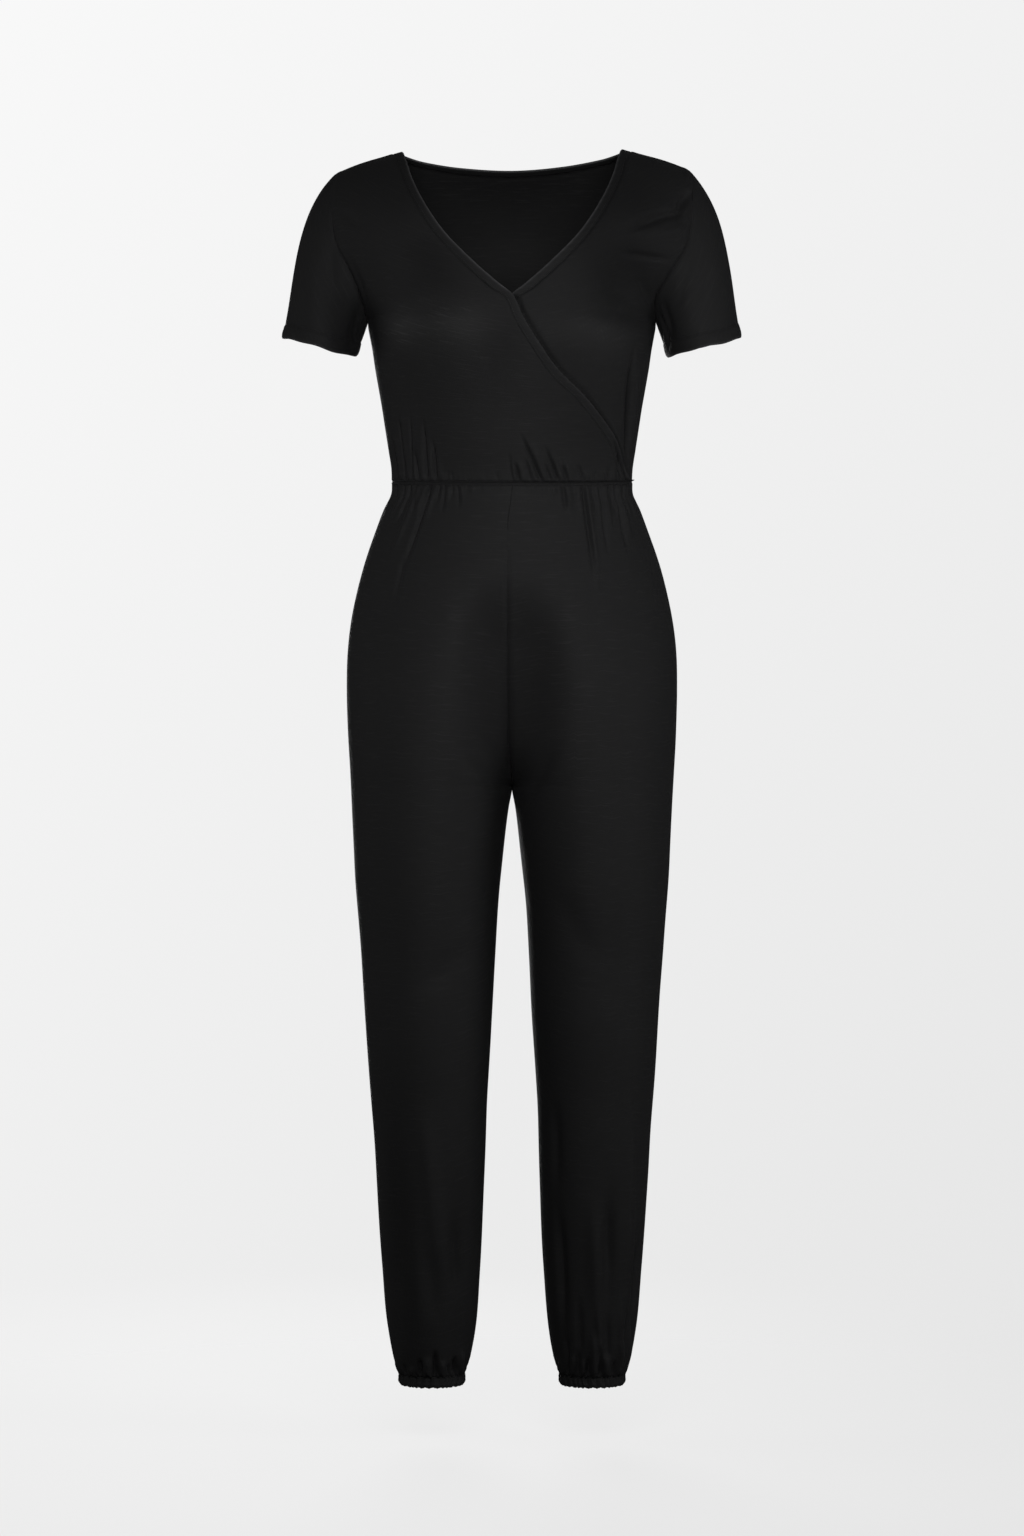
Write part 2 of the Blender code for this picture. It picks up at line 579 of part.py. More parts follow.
def sleeve_rows(side):
    """Rings of a sleeve from the armhole to the hem; side is the x sign."""
    points, normals = armhole_loop(side)
    lengths = np.linalg.norm(np.diff(points, axis=0, append=points[:1]), axis=1)
    count_front = len(ARMHOLE_STEPS) - 1
    front = np.concatenate([[0], np.cumsum(lengths[:count_front])]) / lengths[:count_front].sum()
    back = np.cumsum(lengths[count_front:]) / lengths[count_front:].sum()
    turn = math.pi * np.concatenate([front, 1 + back[:-1]])
    axis = np.array([side * math.sin(SLEEVE_LEAN), 0, -math.cos(SLEEVE_LEAN)])
    inward = np.array([-side * math.cos(SLEEVE_LEAN), 0, -math.sin(SLEEVE_LEAN)])
    centre = np.array([side * SLEEVE_HEM_OUT, SLEEVE_HEM_BACK, SLEEVE_HEM_HEIGHT])
    hem = (centre + SLEEVE_HALF_WIDTH * np.cos(turn)[:, None] * inward
           - SLEEVE_HALF_DEPTH * np.sin(turn)[:, None] * np.array([0, 1, 0]))
    length = np.linalg.norm(hem - points, axis=1)[:, None]
    cap = ((1 - np.cos(turn)) / 2)[:, None]
    start = length * (SLEEVE_DROP * axis + SLEEVE_CAP * cap * np.array([side, 0, 0]))
    end = length * axis
    points = points + SEAM_GAP * start / np.linalg.norm(start, axis=1, keepdims=True)
    rings = []
    for t in SLEEVE_ROWS:
        rings.append((1 + 2 * t) * (1 - t) ** 2 * points + t * (1 - t) ** 2 * start
                     + t * t * (3 - 2 * t) * hem + t * t * (t - 1) * end)
    rings = np.array(rings)
    around = np.roll(rings, -1, axis=1) - np.roll(rings, 1, axis=1)
    down = np.gradient(rings, axis=0)
    facing = np.cross(down, around)
    facing /= np.linalg.norm(facing, axis=-1, keepdims=True)
    outside = np.sign((facing * (rings - rings.mean(axis=1, keepdims=True))).sum())
    facing *= outside
    shared = facing[0] * (1 - cap) + normals * cap
    facing[0] = shared / np.linalg.norm(shared, axis=1, keepdims=True)
    across = np.linspace(0, 1, rings.shape[1] + 1)
    rows = []
    for ring, face in zip(rings, facing):
        outer = np.vstack([ring, ring[:1]])
        inner = outer - WALL * np.vstack([face, face[:1]])
        rows.append(Row(across, outer, inner))
    return rows


def quarter_gathers(face, side):
    """The waist gathers of a quarter, as angles from its side seam."""
    table = TROUSER_FRONT_GATHERS if face < 0 else TROUSER_BACK_GATHERS
    own = [gather for gather in table if gather.start * side > 0]
    return [Gather(90 - abs(g.start), 90 - abs(g.end), g.length, g.rise) for g in own]


def leg_folds(angles, height, face, side):
    total = np.zeros_like(angles)
    names = ("left" if side > 0 else "right", "front" if face < 0 else "back")
    for fold in LEG_FOLDS:
        if (fold.side, fold.face) != names or not fold.bottom < height < fold.top:
            continue
        run = (fold.top - height) / (fold.top - fold.bottom)
        centre = math.radians(fold.top_angle + (fold.bottom_angle - fold.top_angle) * run)
        reach = (angles - centre) / math.radians(fold.spread)
        total = total + fold.rise * math.sin(math.pi * run) * np.exp(-reach ** 2)
    return total


def trouser_rows(face, side):
    """Rows of a quarter of the trousers, as the left one, from the side seam to the middle or inseam."""
    waist_gathers = quarter_gathers(face, side)
    rows = []
    for height, count in TROUSER_ROWS:
        end = middle_angle(height)
        angles = np.linspace(0, end, count)
        from_waist, from_ankle = WAIST - height, height - CASING_TOP
        angles = fold_columns(angles, waist_gathers, from_waist, GATHER_SPREAD)
        if from_ankle < ANKLE_REACH:
            angles = fold_columns(angles, ANKLE_GATHERS, from_ankle, ANKLE_SPREAD)
        rise = (ridges(waist_gathers, angles, from_waist, GATHER_SPREAD)
                + ridges(ANKLE_GATHERS, angles, from_ankle, ANKLE_SPREAD)
                + leg_folds(angles, height, face, side))
        row = wall_row(leg, angles, height, face, rise)
        for points in (row.outer, row.inner):
            points[:, 0] = np.maximum(points[:, 0], SEAM_GAP / 2)
        rows.append(part_at_seam(row, face, float(smooth(TROUSERS, "middle", height))))
    return rows if side > 0 else mirrored(rows)


def ring_rows(form, heights, columns, proud):
    """Rings of a band that runs all the way round a form."""
    rows = []
    for height in heights:
        half = np.linspace(0, math.pi, columns // 2 + 1)
        front = wall_row(form, half, height, -1, 0.0, sink=proud)
        back = wall_row(form, half, height, 1, 0.0, sink=proud)
        outer = np.vstack([front.outer, back.outer[-2::-1]])
        inner = np.vstack([front.inner, back.inner[-2::-1]])
        rows.append(Row(np.linspace(0, 1, len(outer)), outer, inner))
    return rows


def whole_waist(angle, height, face):
    """The body's section as one round, from the left side over the front or back to the right side."""
    return body(math.pi / 2 - angle, height, face)


def black_jersey():
    material = bpy.data.materials.new("black_jersey")
    material.use_nodes = True
    shader = material.node_tree.nodes["Principled BSDF"]
    shader.inputs["Base Color"].default_value = (0.011, 0.011, 0.012, 1.0)
    shader.inputs["Roughness"].default_value = 0.82
    shader.inputs["Metallic"].default_value = 0.0
    return material


for old in list(bpy.data.objects):
    bpy.data.objects.remove(old, do_unlink=True)
COLLECTION = bpy.data.collections.new("jumpsuit")
bpy.context.scene.collection.children.link(COLLECTION)
JERSEY = black_jersey()

cloth("bodice_back", back_rows())
cloth("neck_band_back", back_band_rows())
elastic_edges = (WAIST - ELASTIC_HEIGHT / 2, WAIST + ELASTIC_HEIGHT / 2)
cloth("waist_elastic", ring_rows(whole_waist, elastic_edges, ELASTIC_COLUMNS, BAND_PROUD), ring=True)
for side, word in ((-1, "right"), (1, "left")):
    cloth("bodice_front_" + word, front_rows(side))
    cloth("neck_band_" + word, front_band_rows(side))
    cloth("sleeve_" + word, sleeve_rows(side), ring=True)
    cloth("trouser_front_" + word, trouser_rows(-1, side))
    cloth("trouser_back_" + word, trouser_rows(1, side))
    casing = ring_rows(leg, (HEM, CASING_TOP - SEAM_GAP), CASING_COLUMNS, BAND_PROUD)
    cloth("ankle_casing_" + word, casing if side > 0 else mirrored(casing), ring=True)
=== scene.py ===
"""Looks of a black jersey jumpsuit: wrap front, short sleeves, elastic waist and gathered ankles.

Each cut piece is a fine shell on its solid's form, with its gathers, folds, turned edges and stitching.
Metres, +Z up, the front faces -Y, +X is the wearer's left. A height above the chest runs up the cloth.
A side is 1 on the left and -1 on the right; a face is -1 in front and 1 behind.
"""
import json
import math
from collections import namedtuple

import bpy
import numpy as np
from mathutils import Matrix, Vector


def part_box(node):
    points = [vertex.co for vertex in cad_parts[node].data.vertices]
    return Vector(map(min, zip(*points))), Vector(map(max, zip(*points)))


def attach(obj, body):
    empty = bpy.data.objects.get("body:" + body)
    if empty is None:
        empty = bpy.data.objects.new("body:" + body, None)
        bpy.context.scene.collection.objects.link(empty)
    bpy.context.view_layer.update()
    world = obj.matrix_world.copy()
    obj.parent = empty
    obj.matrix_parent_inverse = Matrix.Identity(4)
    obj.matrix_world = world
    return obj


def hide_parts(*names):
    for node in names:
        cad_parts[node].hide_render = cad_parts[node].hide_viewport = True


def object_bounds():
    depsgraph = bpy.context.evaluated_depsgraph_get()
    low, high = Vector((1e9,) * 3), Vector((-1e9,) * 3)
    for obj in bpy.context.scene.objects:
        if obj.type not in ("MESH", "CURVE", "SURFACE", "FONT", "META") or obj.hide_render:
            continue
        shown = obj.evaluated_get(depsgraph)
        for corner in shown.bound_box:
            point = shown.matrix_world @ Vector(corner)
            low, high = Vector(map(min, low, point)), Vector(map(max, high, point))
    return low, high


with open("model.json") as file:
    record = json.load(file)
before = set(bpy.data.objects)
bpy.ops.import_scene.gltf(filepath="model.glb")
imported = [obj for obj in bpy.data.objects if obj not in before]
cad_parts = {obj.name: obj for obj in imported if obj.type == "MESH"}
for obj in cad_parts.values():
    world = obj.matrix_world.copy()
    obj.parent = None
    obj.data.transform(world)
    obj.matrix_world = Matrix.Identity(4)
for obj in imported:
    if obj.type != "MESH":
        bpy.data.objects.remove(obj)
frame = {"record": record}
CAD_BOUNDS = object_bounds()
BODY_NAME = "root"

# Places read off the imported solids
ELASTIC_FOOT, ELASTIC_TOP = (corner.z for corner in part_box("waist_elastic"))
HEM, CASING_TOP = (corner.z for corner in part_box("ankle_casing_left"))
WAIST = (ELASTIC_FOOT + ELASTIC_TOP) / 2

# Cloth and seams
CLOTH = 0.0011          # thickness of the jersey
ELASTIC_THICK = 0.0022
CASING_THICK = 0.0021
SEAM_GAP = 0.0003       # between neighbouring pieces
SEWN_AT = (ELASTIC_TOP - ELASTIC_FOOT) / 2 + SEAM_GAP  # from the waist's height to the cloth sewn on there
WRAP_LIFT = 0.0028      # from the under front to the one that lies on it
SEAM_ROLL = 0.0010      # how far the cloth rolls up from a seam
SEAM_GROOVE = 0.0022    # and how wide its groove is on each side
SEAM_OVERLAP = 0.00015  # pieces pass each other in a seam by this much
ALLOWANCE_RISE = 0.00030  # the turned seam edges show through as a low ridge,
ALLOWANCE_AT = 0.0062   # this far from the seam
ALLOWANCE_WIDTH = 0.0024
ARMHOLE_EASE = 0.62     # how much of the armhole's groove is lost over the sleeve's cap
ANKLE_SEAM = 0.45       # depth of the trousers' seam at a casing

# The turned band on the neck and wrap edges
BAND_WIDTH = 0.009
BAND_THICK = 0.0023     # folded
BAND_THINNEST = 0.00002
BAND_STITCHES = 0.0072  # from the free edge to the row of stitches
STITCHED_DIP = 0.00035  # how far they draw the band in
STITCHED_WIDTH = 0.0009
BAND_STEPS = np.concatenate([BAND_THICK / 2 * (1 - np.cos(np.linspace(0, math.pi / 2, 6))),
                             np.linspace(BAND_THICK / 2, BAND_WIDTH, 9)[1:]])
BAND_WAVE = 0.00022     # unevenness of its free edge, and its length and reach
BAND_WAVE_LENGTH = 0.0115
BAND_WAVE_REACH = 0.006
BAND_WAVE_DRIFT = 0.031 # length over which that length changes
WRAP_STARTS = -0.162    # below this the edge lies on the other front
WRAP_STARTS_OVER = 0.012  # and the band changes over this height
WRAP_SEAM = 0.35        # depth of the band's seam there
FOLD_HIGHLIGHT = 0.0016      # a painted highlight runs along a folded edge over this width,
WRAP_HIGHLIGHT = 0.25        # and at this share of its strength where it lies on the other front

# Heights, from the shoulder seams
UNDERARM = -0.1748
CHEST = -0.110          # where the body starts to round over to the shoulders
ARCH = 0.190            # length of cloth from there to the shoulder seam
SHOULDER = CHEST + ARCH
CROTCH = -0.694

WAIST_SAG = 0.0072      # how much lower the waist seam lies in front than at the sides
WAIST_SAG_REACH = 0.090
WAIST_FRONT = 0.0925    # how far in front its middle is

# Upper body
NECK_HALF = 0.1230      # half the neck opening, at the shoulder seams
BACK_NECK_DROP = 0.052  # cloth from the shoulder seam's height to the middle of the back neck
BACK_NECK_SQUARE = 0.3  # lower is flatter in the middle
BACK_NECK_SPREAD = 1.15  # how fast the neck's curves drop away from its edge
SHOULDER_TILT = 0.012   # the left shoulder sits slightly higher
CROSSING = math.radians(30)  # over this angle each side of the middle one front rises over the other

# Sleeves
SLEEVE_HEM_OUT = 0.2150
SLEEVE_HEM_HEIGHT = -0.2044
SLEEVE_HALF_WIDTH = 0.0418
SLEEVE_HALF_DEPTH = 0.0530
SLEEVE_HEM_BACK = 0.004
SLEEVE_LEAN = math.radians(14.7)
SLEEVE_DROP = 0.85      # how strongly the sleeve leaves the armhole along its own axis
SLEEVE_CAP = 0.55       # and how strongly its cap rounds out over the shoulder tip
CAP_BLENDS = 0.12       # share of the way down over which the cap leaves the bodice's own form
HEM_TILT = 0.0050       # the hem hangs lower in front than behind,
HEM_WAVES = ((3, 0.0009), (7, 0.0005))  # and waves this often round the arm, by this much
HEM_TURN = 0.0150       # depth of the turned hem
HEM_STEP = 0.0012       # length over which it thickens
HEM_DOUBLED = 0.0006    # how far it stands up,
HEM_DOUBLED_THICK = 0.0005
HEM_PUFF = 0.0007       # puffs out between its stitches and its fold,
HEM_PUFF_AT = 0.0065
HEM_PUFF_WIDTH = 0.0050
HEM_ROUND = 0.0008      # and rounds in at the fold
HEM_ROUND_WIDTH = 0.0011
# strength of the painted highlight along the hem's fold
HEM_HIGHLIGHT = 0.6
HEM_STITCHES = (HEM_TURN, HEM_TURN + 0.0022)  # from the fold to its two rows of stitches
HEM_STITCH_DIP = 0.0004
HEM_STITCH_WIDTH = 0.0008


def in_metres(kind, *rows):
    """Rows written in millimetres, as the kind's named columns in metres."""
    return [kind(*(value / 1000 for value in row)) for row in rows]


BodySection = namedtuple("BodySection", "height half_width front back")
BODY = in_metres(BodySection,
    (-375.7, 132.9, 91.5, 87), (-355.7, 132.9, 92.5, 88), (-342.4, 133.5, 94, 90), (-320, 136.8, 99, 94),
    (-297.7, 140.2, 104, 98), (-275.3, 143.6, 109, 101), (-253, 147.5, 114, 104),
    (-230.7, 151.4, 117.5, 107), (-208.3, 154.7, 120, 109), (-186, 159, 121, 111),
    (-174.8, 161, 121, 112), (-165, 169, 120.5, 112.5), (-150, 182, 119.5, 113), (-130, 195, 117.5, 113),
    (-110, 206, 115, 112.5), (-65, 218, 109, 110), (-20, 222, 102, 105), (30, 222, 96, 99),
    (80, 222, 92, 95), (100, 222, 90.5, 93.5))

ShoulderPoint = namedtuple("ShoulderPoint", "out top")
SHOULDER_LINE = in_metres(ShoulderPoint,
    (-60, 10.5), (0, 7.9), (60, 10.5), (100, 13.2), (122.8, 13.8), (141.9, 8.2), (169.8, 0),
    (192.1, -8.5), (220, -21))

ArmholePoint = namedtuple("ArmholePoint", "height out")
ARMHOLE = in_metres(ArmholePoint,
    (-174.8, 161), (-168.9, 162.6), (-146, 170.6), (-121.5, 181.2), (-100.5, 191.5), (-64.8, 198.1),
    (-21.5, 200.3), (27.2, 199.5), (80, 197))

# The free edge of a front: how far it reaches across the middle, up to the neck on its own side
EdgePoint = namedtuple("EdgePoint", "height across")
WRAP_EDGE = in_metres(EdgePoint,
    (-355.7, 130.6), (-345, 126.6), (-331, 122.2), (-312, 115.4), (-300.4, 108.4), (-287.5, 98.8),
    (-265.7, 79.8), (-239.8, 51.3), (-206.5, 26.7), (-178.1, 9.8), (-166, 5), (-157.5, 0),
    (-147.6, -12.3), (-129.2, -33.6), (-108.7, -54.8), (-89.9, -72.2), (-68.6, -87.2), (-47.7, -98.5),
    (-19.4, -109.2), (23.2, -117.2), (80, -123))

# Soft fullness of the fronts at the bust, and the hollows above it towards the armholes
Swell = namedtuple("Swell", "out height rise across above below")
SWELLS = in_metres(Swell,
    (-84, -190, 9, 54, 28, 44), (90, -192, 9, 48, 28, 44), (-101, -130, -7.5, 34, 34, 26),
    (133, -150, -20, 40, 44, 30), (-108, -70, 3, 34, 30, 30), (134, -82, 4.5, 36, 30, 30))
SWELL_FADES = 0.045     # towards the sides they fade over this depth
# Painted highlights (a rise of 1000 or more) and painted shade (below 0) in the jersey's colour, which also
# make it a little glossier or duller
PAINTED_LIGHT = in_metres(Swell,
    (-104, -186, 2300, 36, 21, 26), (-56, -186, 900, 30, 20, 26), (98, -191, 1150, 32, 22, 28),
    (-10, -210, -500, 24, 30, 40), (50, -226, -350, 34, 20, 30), (-101, -117, -700, 30, 34, 34),
    (131, -148, -1000, 36, 42, 40), (120, -55, -950, 55, 55, 45), (85, -290, -450, 50, 55, 50),
    (-184, -185, -1400, 22, 40, 40), (171, -172, -1500, 18, 34, 40), (100, -108, -750, 36, 34, 36),
    (-128, -1245, -1900, 16, 130, 120), (-85, -1260, -350, 30, 120, 120),
    (-56, -1250, -1200, 13, 110, 100), (105, -1270, -600, 26, 120, 120), (132, -1300, -1300, 12, 50, 50))
VALLEY_PAINTED_SHADE = 0.80     # painted shade along the middle of the trousers
BACK_PAINTED_LIGHT = ((-0.07, 0.06), (-0.035, 0.035))  # painted light on the back, above these heights, over these reaches

TrouserSection = namedtuple("TrouserSection", "height outer inner front back middle")
TROUSERS = in_metres(TrouserSection,
    (-1390, 126.8, 53, 40.5, 41.5, 26), (-1366.2, 126.8, 53, 40.5, 41.5, 26),
    (-1354.3, 126.2, 53.4, 40, 41, 26), (-1347.7, 128.5, 51.5, 42.5, 43.5, 26),
    (-1337, 131.8, 48, 46.5, 47, 26), (-1325.3, 134.5, 45.6, 49.5, 50.5, 25.8),
    (-1303, 138.2, 42, 53, 54.5, 25.5), (-1236, 144.1, 36.3, 57, 60, 24),
    (-1146.6, 150.2, 32.4, 62.5, 66, 20), (-1057, 155.8, 29.6, 68, 73, 14.5),
    (-967.9, 162, 24.3, 76, 78, 8), (-878.5, 168, 19.5, 85, 89, 7), (-834, 171.1, 17, 91, 95, 6),
    (-789.3, 174.3, 13.2, 97, 102, 5.5), (-745, 176.5, 8.3, 102, 108, 5),
    (-720, 177.7, 4.8, 104, 111.5, 4.5), (-694, 179, 0.3, 106, 116, 4),
    (-677.4, 179.8, 0.3, 107.5, 120, 3.6), (-632.8, 182.1, 0.3, 110.5, 129, 2.8),
    (-588, 183.2, 0.3, 112.5, 134, 2), (-543.4, 182.1, 0.3, 112, 134, 1.4),
    (-498.7, 176, 0.3, 109, 127, 0.8), (-454, 165.3, 0.3, 104.5, 116, 0.4),
    (-409.4, 150.3, 0.3, 98, 101, 0.1), (-387, 142, 0.3, 94.8, 93.5, 0),
    (-369, 133.8, 0.3, 92.8, 88.8, 0), (-355.7, 132.9, 0.3, 92.5, 88, 0), (-340, 132.9, 0.3, 92.5, 88, 0))
LEGS_START = -0.400     # below this the halves round off towards two legs
LEAST_HOLLOW = 0.05     # a section's middle is never quite straight
PARTING = 2.6           # how late the middle hollows: higher is nearer the crotch

# A gather leaves an elastic seam at one place and ends at another, out from the middle. Its length is
# up or down the cloth, and a rise below zero is a valley. Width is from its crest to where it has faded.
Gather = namedtuple("Gather", "out out_end length rise width")
BODICE_FRONT_GATHERS = in_metres(Gather,
    (-131, -137, 50, 1.4, 3), (-126.5, -133, 56, -3.2, 1.9), (-122.2, -130, 60, 1.8, 2.8),
    (-117.5, -126.2, 80, -4.9, 2.2), (-113.8, -120.5, 64, 1.6, 2.6), (-110.1, -112.8, 86, -3.2, 1.9),
    (-106.2, -110.5, 50, 1.4, 2.6), (-102, -108.5, 40, -3.8, 1.9), (-97.5, -102, 52, 1.4, 2.8),
    (-92.5, -98, 76, -3.8, 2), (-87.5, -91.5, 44, 1.3, 2.6), (-82.5, -87.2, 52, -4.1, 2),
    (-78.2, -80.8, 26, 1, 2.8), (-70, -70.2, 16, -1, 1.8), (-65.6, -65.6, 14, -1.2, 1.8),
    (-54, -53.8, 10, 0.6, 3), (-33, -33.8, 10, 0.6, 3), (-16, -17, 14, -0.8, 2), (1, -4, 34, -1.5, 1.9),
    (4.6, -0.6, 26, 1.3, 2.6), (8.2, 2.2, 24, -2.6, 1.8), (12.8, 6.8, 28, 1.4, 2.8),
    (20.5, 14, 30, -1.5, 1.8), (26.8, 17, 40, 1.2, 2.8), (32.3, 8.5, 54, -3.4, 2.1),
    (37.2, 20, 46, 1.8, 2.8), (42.4, 34.5, 24, -1.6, 1.8), (46, 37, 30, 1.2, 2.4),
    (50.4, 34.5, 42, -3, 2), (54.8, 44, 34, 1.6, 2.6), (59.5, 54, 22, -2.8, 1.8), (64, 57, 30, 1.4, 2.6),
    (71.2, 66, 18, -1.4, 1.8), (77.7, 71, 22, -2.8, 1.8), (82.2, 79, 16, 1, 2.6),
    (90, 88.5, 16, -1.2, 1.8), (98.5, 97.5, 14, 1, 2.6), (105, 103.6, 20, -1.8, 1.8),
    (111, 109.8, 18, 1.2, 2.6), (117.2, 115.8, 34, -3.4, 2.6))
BODICE_BACK_GATHERS = in_metres(Gather,
    (-130.5, -136, 48, 2.4, 3.4), (-125, -130, 58, 2.9, 3.4), (-119, -123, 60, -2.2, 2.1),
    (-112.8, -115.8, 36, 2.4, 3), (-106.5, -108.5, 28, -1.7, 1.9), (-100.3, -101.8, 56, 3.1, 3.4),
    (-93.5, -94.5, 50, -2.1, 2.1), (-83.8, -84.2, 34, 2.4, 3.2), (-76, -76.2, 26, -1.7, 1.9),
    (-64.5, -64.8, 44, 2.7, 3.4), (-57.5, -57.2, 46, -2, 2.1), (-50, -49.4, 24, 1.9, 2.9),
    (-38.8, -39, 34, 2.2, 3.2), (-32.5, -33, 36, -1.9, 2), (-25, -25.4, 18, 1.6, 2.9),
    (-16, -16.6, 22, 1.7, 3), (-9.8, -10.2, 16, -1.5, 1.9), (-3, -2.4, 14, 1.3, 2.9),
    (4.5, 5.2, 30, -1.7, 2), (11.5, 12.4, 34, 2.2, 3.2), (20.5, 21, 22, 1.6, 2.9),
    (30, 30.2, 20, -1.5, 1.9), (38.8, 39.2, 22, 1.9, 3), (47, 47.8, 30, -1.7, 2),
    (62.4, 63.2, 46, 2.8, 3.4), (70, 71.6, 44, -2, 2.1), (78, 79.8, 20, 1.6, 2.7),
    (81.8, 83.5, 34, 2.1, 3), (90.5, 93, 30, -1.7, 2), (100.3, 102.8, 56, 3.1, 3.4),
    (107, 110, 52, -2.2, 2.1), (113.9, 117, 46, 2.5, 3.2), (120, 124, 34, -1.9, 1.9),
    (125.2, 129.2, 44, 2.7, 3.2), (130.2, 135, 46, 2.1, 3))
TROUSER_FRONT_GATHERS = in_metres(Gather,
    (-131.2, -142, 46, 1.8, 3), (-126.8, -137, 36, -2.2, 2), (-122.2, -134.5, 50, 1.8, 2.8),
    (-117.8, -127, 30, -1.8, 1.9), (-115, -132, 60, 1.6, 2.8), (-111, -130, 54, -3.2, 2.4),
    (-107.6, -119, 36, 1.4, 2.4), (-104.2, -108.2, 34, -2.4, 1.9), (-100, -135, 92, 2.6, 3.6),
    (-93, -107.5, 40, 2.2, 2.6), (-87.7, -123.5, 112, -4, 2.9), (-82.6, -96, 46, 1.6, 3),
    (-78.6, -82, 24, -1.4, 1.8), (-73, -75.8, 36, -2.4, 2), (-69, -71.2, 26, 1.2, 2.4),
    (-64.5, -65, 18, -1, 1.8), (-59, -57, 30, -1.8, 1.8), (-55.6, -54, 20, 1, 2.4),
    (-43, -43.6, 12, 0.7, 3), (-30, -30.2, 10, 0.6, 3), (24, 24.4, 12, -0.8, 2), (35, 35.6, 12, 0.7, 3),
    (45.5, 47, 16, -1.2, 2), (50, 54, 26, 1.2, 2.6), (55.2, 60, 34, -2.6, 2.1), (60, 65, 40, 1.8, 3),
    (65.8, 70, 24, -1.4, 1.8), (71, 75.5, 32, 1.4, 2.6), (76.7, 93, 122, -3.8, 2.4),
    (80.6, 96.2, 116, 2.4, 2.9), (86.8, 93.5, 40, -1.8, 2), (91, 98.5, 46, 1.4, 2.6),
    (95.5, 106.5, 90, -2.8, 2.3), (100.5, 109.5, 60, 1.8, 2.8), (105.6, 113, 36, -3.2, 2),
    (109.6, 119, 44, 2.2, 2.6), (114, 129, 88, -3.2, 2.4), (118, 132, 70, 2, 3),
    (123.2, 130, 42, -2.8, 2), (127.2, 138.5, 46, 2, 2.8), (131, 144, 50, -1.8, 2.6))
TROUSER_BACK_GATHERS = in_metres(Gather,
    (-130.8, -144, 55, 2.5, 3.5), (-124.5, -144, 80, 3, 4), (-119, -137, 70, -2.2, 2.4),
    (-112.8, -124, 50, 2.5, 3.4), (-105, -118, 46, -1.7, 2.2), (-97.5, -119, 104, 3.3, 4.5),
    (-90, -108, 92, -2.5, 2.7), (-80, -87, 34, 2.2, 3.2), (-70, -76, 36, -1.7, 2.2),
    (-60.4, -72, 80, 3, 4), (-52, -61, 74, -2.2, 2.4), (-43, -47, 30, 1.7, 3), (-36.6, -40, 36, 2.2, 3.2),
    (-29, -31.2, 30, -1.6, 2.1), (-16.2, -16.8, 18, 1.5, 2.9), (-9, -9.4, 14, -1.1, 1.9),
    (10, 10.4, 16, -1.3, 1.9), (18.5, 19.8, 34, 2.2, 3.2), (27, 29.6, 30, -1.5, 2.1),
    (34, 39, 30, 1.5, 2.9), (41.2, 48, 72, 2.8, 3.8), (49, 58, 66, -2, 2.4), (64.4, 71, 34, 2.2, 3.2),
    (73, 80, 36, -1.6, 2.1), (83.6, 101, 94, 3.3, 4.5), (91, 111, 100, -2.5, 2.7),
    (101.8, 113, 56, 2.5, 3.4), (109, 123, 50, -1.7, 2.2), (116.2, 137, 86, 3, 4),
    (121.5, 140, 60, -1.9, 2.2), (125.7, 142, 50, 2.4, 3.4), (131.2, 143, 36, 1.9, 3.2))
ANKLE_FRONT_GATHERS = in_metres(Gather,
    (-123.5, -130, 20, 2.7, 4), (-116, -120, 16, -2.4, 2.6), (-109, -111, 14, 2, 3.4),
    (-101, -102.2, 24, -4.4, 3), (-94.5, -95, 26, 3.2, 4.2), (-86.2, -86.2, 34, -4.8, 3.2),
    (-78.5, -77, 22, 3.2, 4), (-72.5, -71.2, 18, -2.4, 2.6), (-65, -64, 26, -4.8, 3),
    (-59.2, -56, 34, 3.7, 4.2), (57.5, 54, 22, 2.4, 3.8), (63.2, 60.5, 52, -3.7, 3.2),
    (69, 68, 30, 2.7, 4), (74.5, 73.5, 34, -2.7, 2.8), (80, 79.6, 24, 2.6, 3.4), (85, 85, 26, -3.1, 2.8),
    (91.5, 90.5, 58, 3.7, 3.6), (97.8, 98.5, 40, -3.7, 3), (104, 105.5, 30, 3.4, 4.2),
    (110.5, 113, 22, -2.4, 2.6), (116, 122, 46, 3.7, 4.4), (122.5, 129, 18, -2.4, 2.8))
ANKLE_BACK_GATHERS = in_metres(Gather,
    (-122, -127, 26, 3.2, 4.2), (-114, -117, 30, -3.5, 3), (-106, -108, 40, 3.5, 4.4),
    (-97, -98, 22, -3.2, 2.8), (-89.5, -89.8, 18, 2.4, 3.6), (-82, -81.5, 36, -3.8, 3.2),
    (-74.5, -73.2, 30, 3.2, 4.2), (-66.8, -64.5, 20, -2.9, 2.8), (-60.5, -56, 30, 3.2, 4.2),
    (59.5, 55, 28, 3.2, 4.2), (66, 63, 22, -3.2, 2.8), (73.5, 71.5, 38, 3.5, 4.4),
    (81.2, 80.5, 20, -2.9, 2.8), (88, 88, 26, 2.9, 3.8), (96, 97, 40, -4, 3.2), (104, 106, 24, 2.9, 4),
    (112, 115, 30, -3.2, 3), (120, 126, 36, 3.4, 4.4))

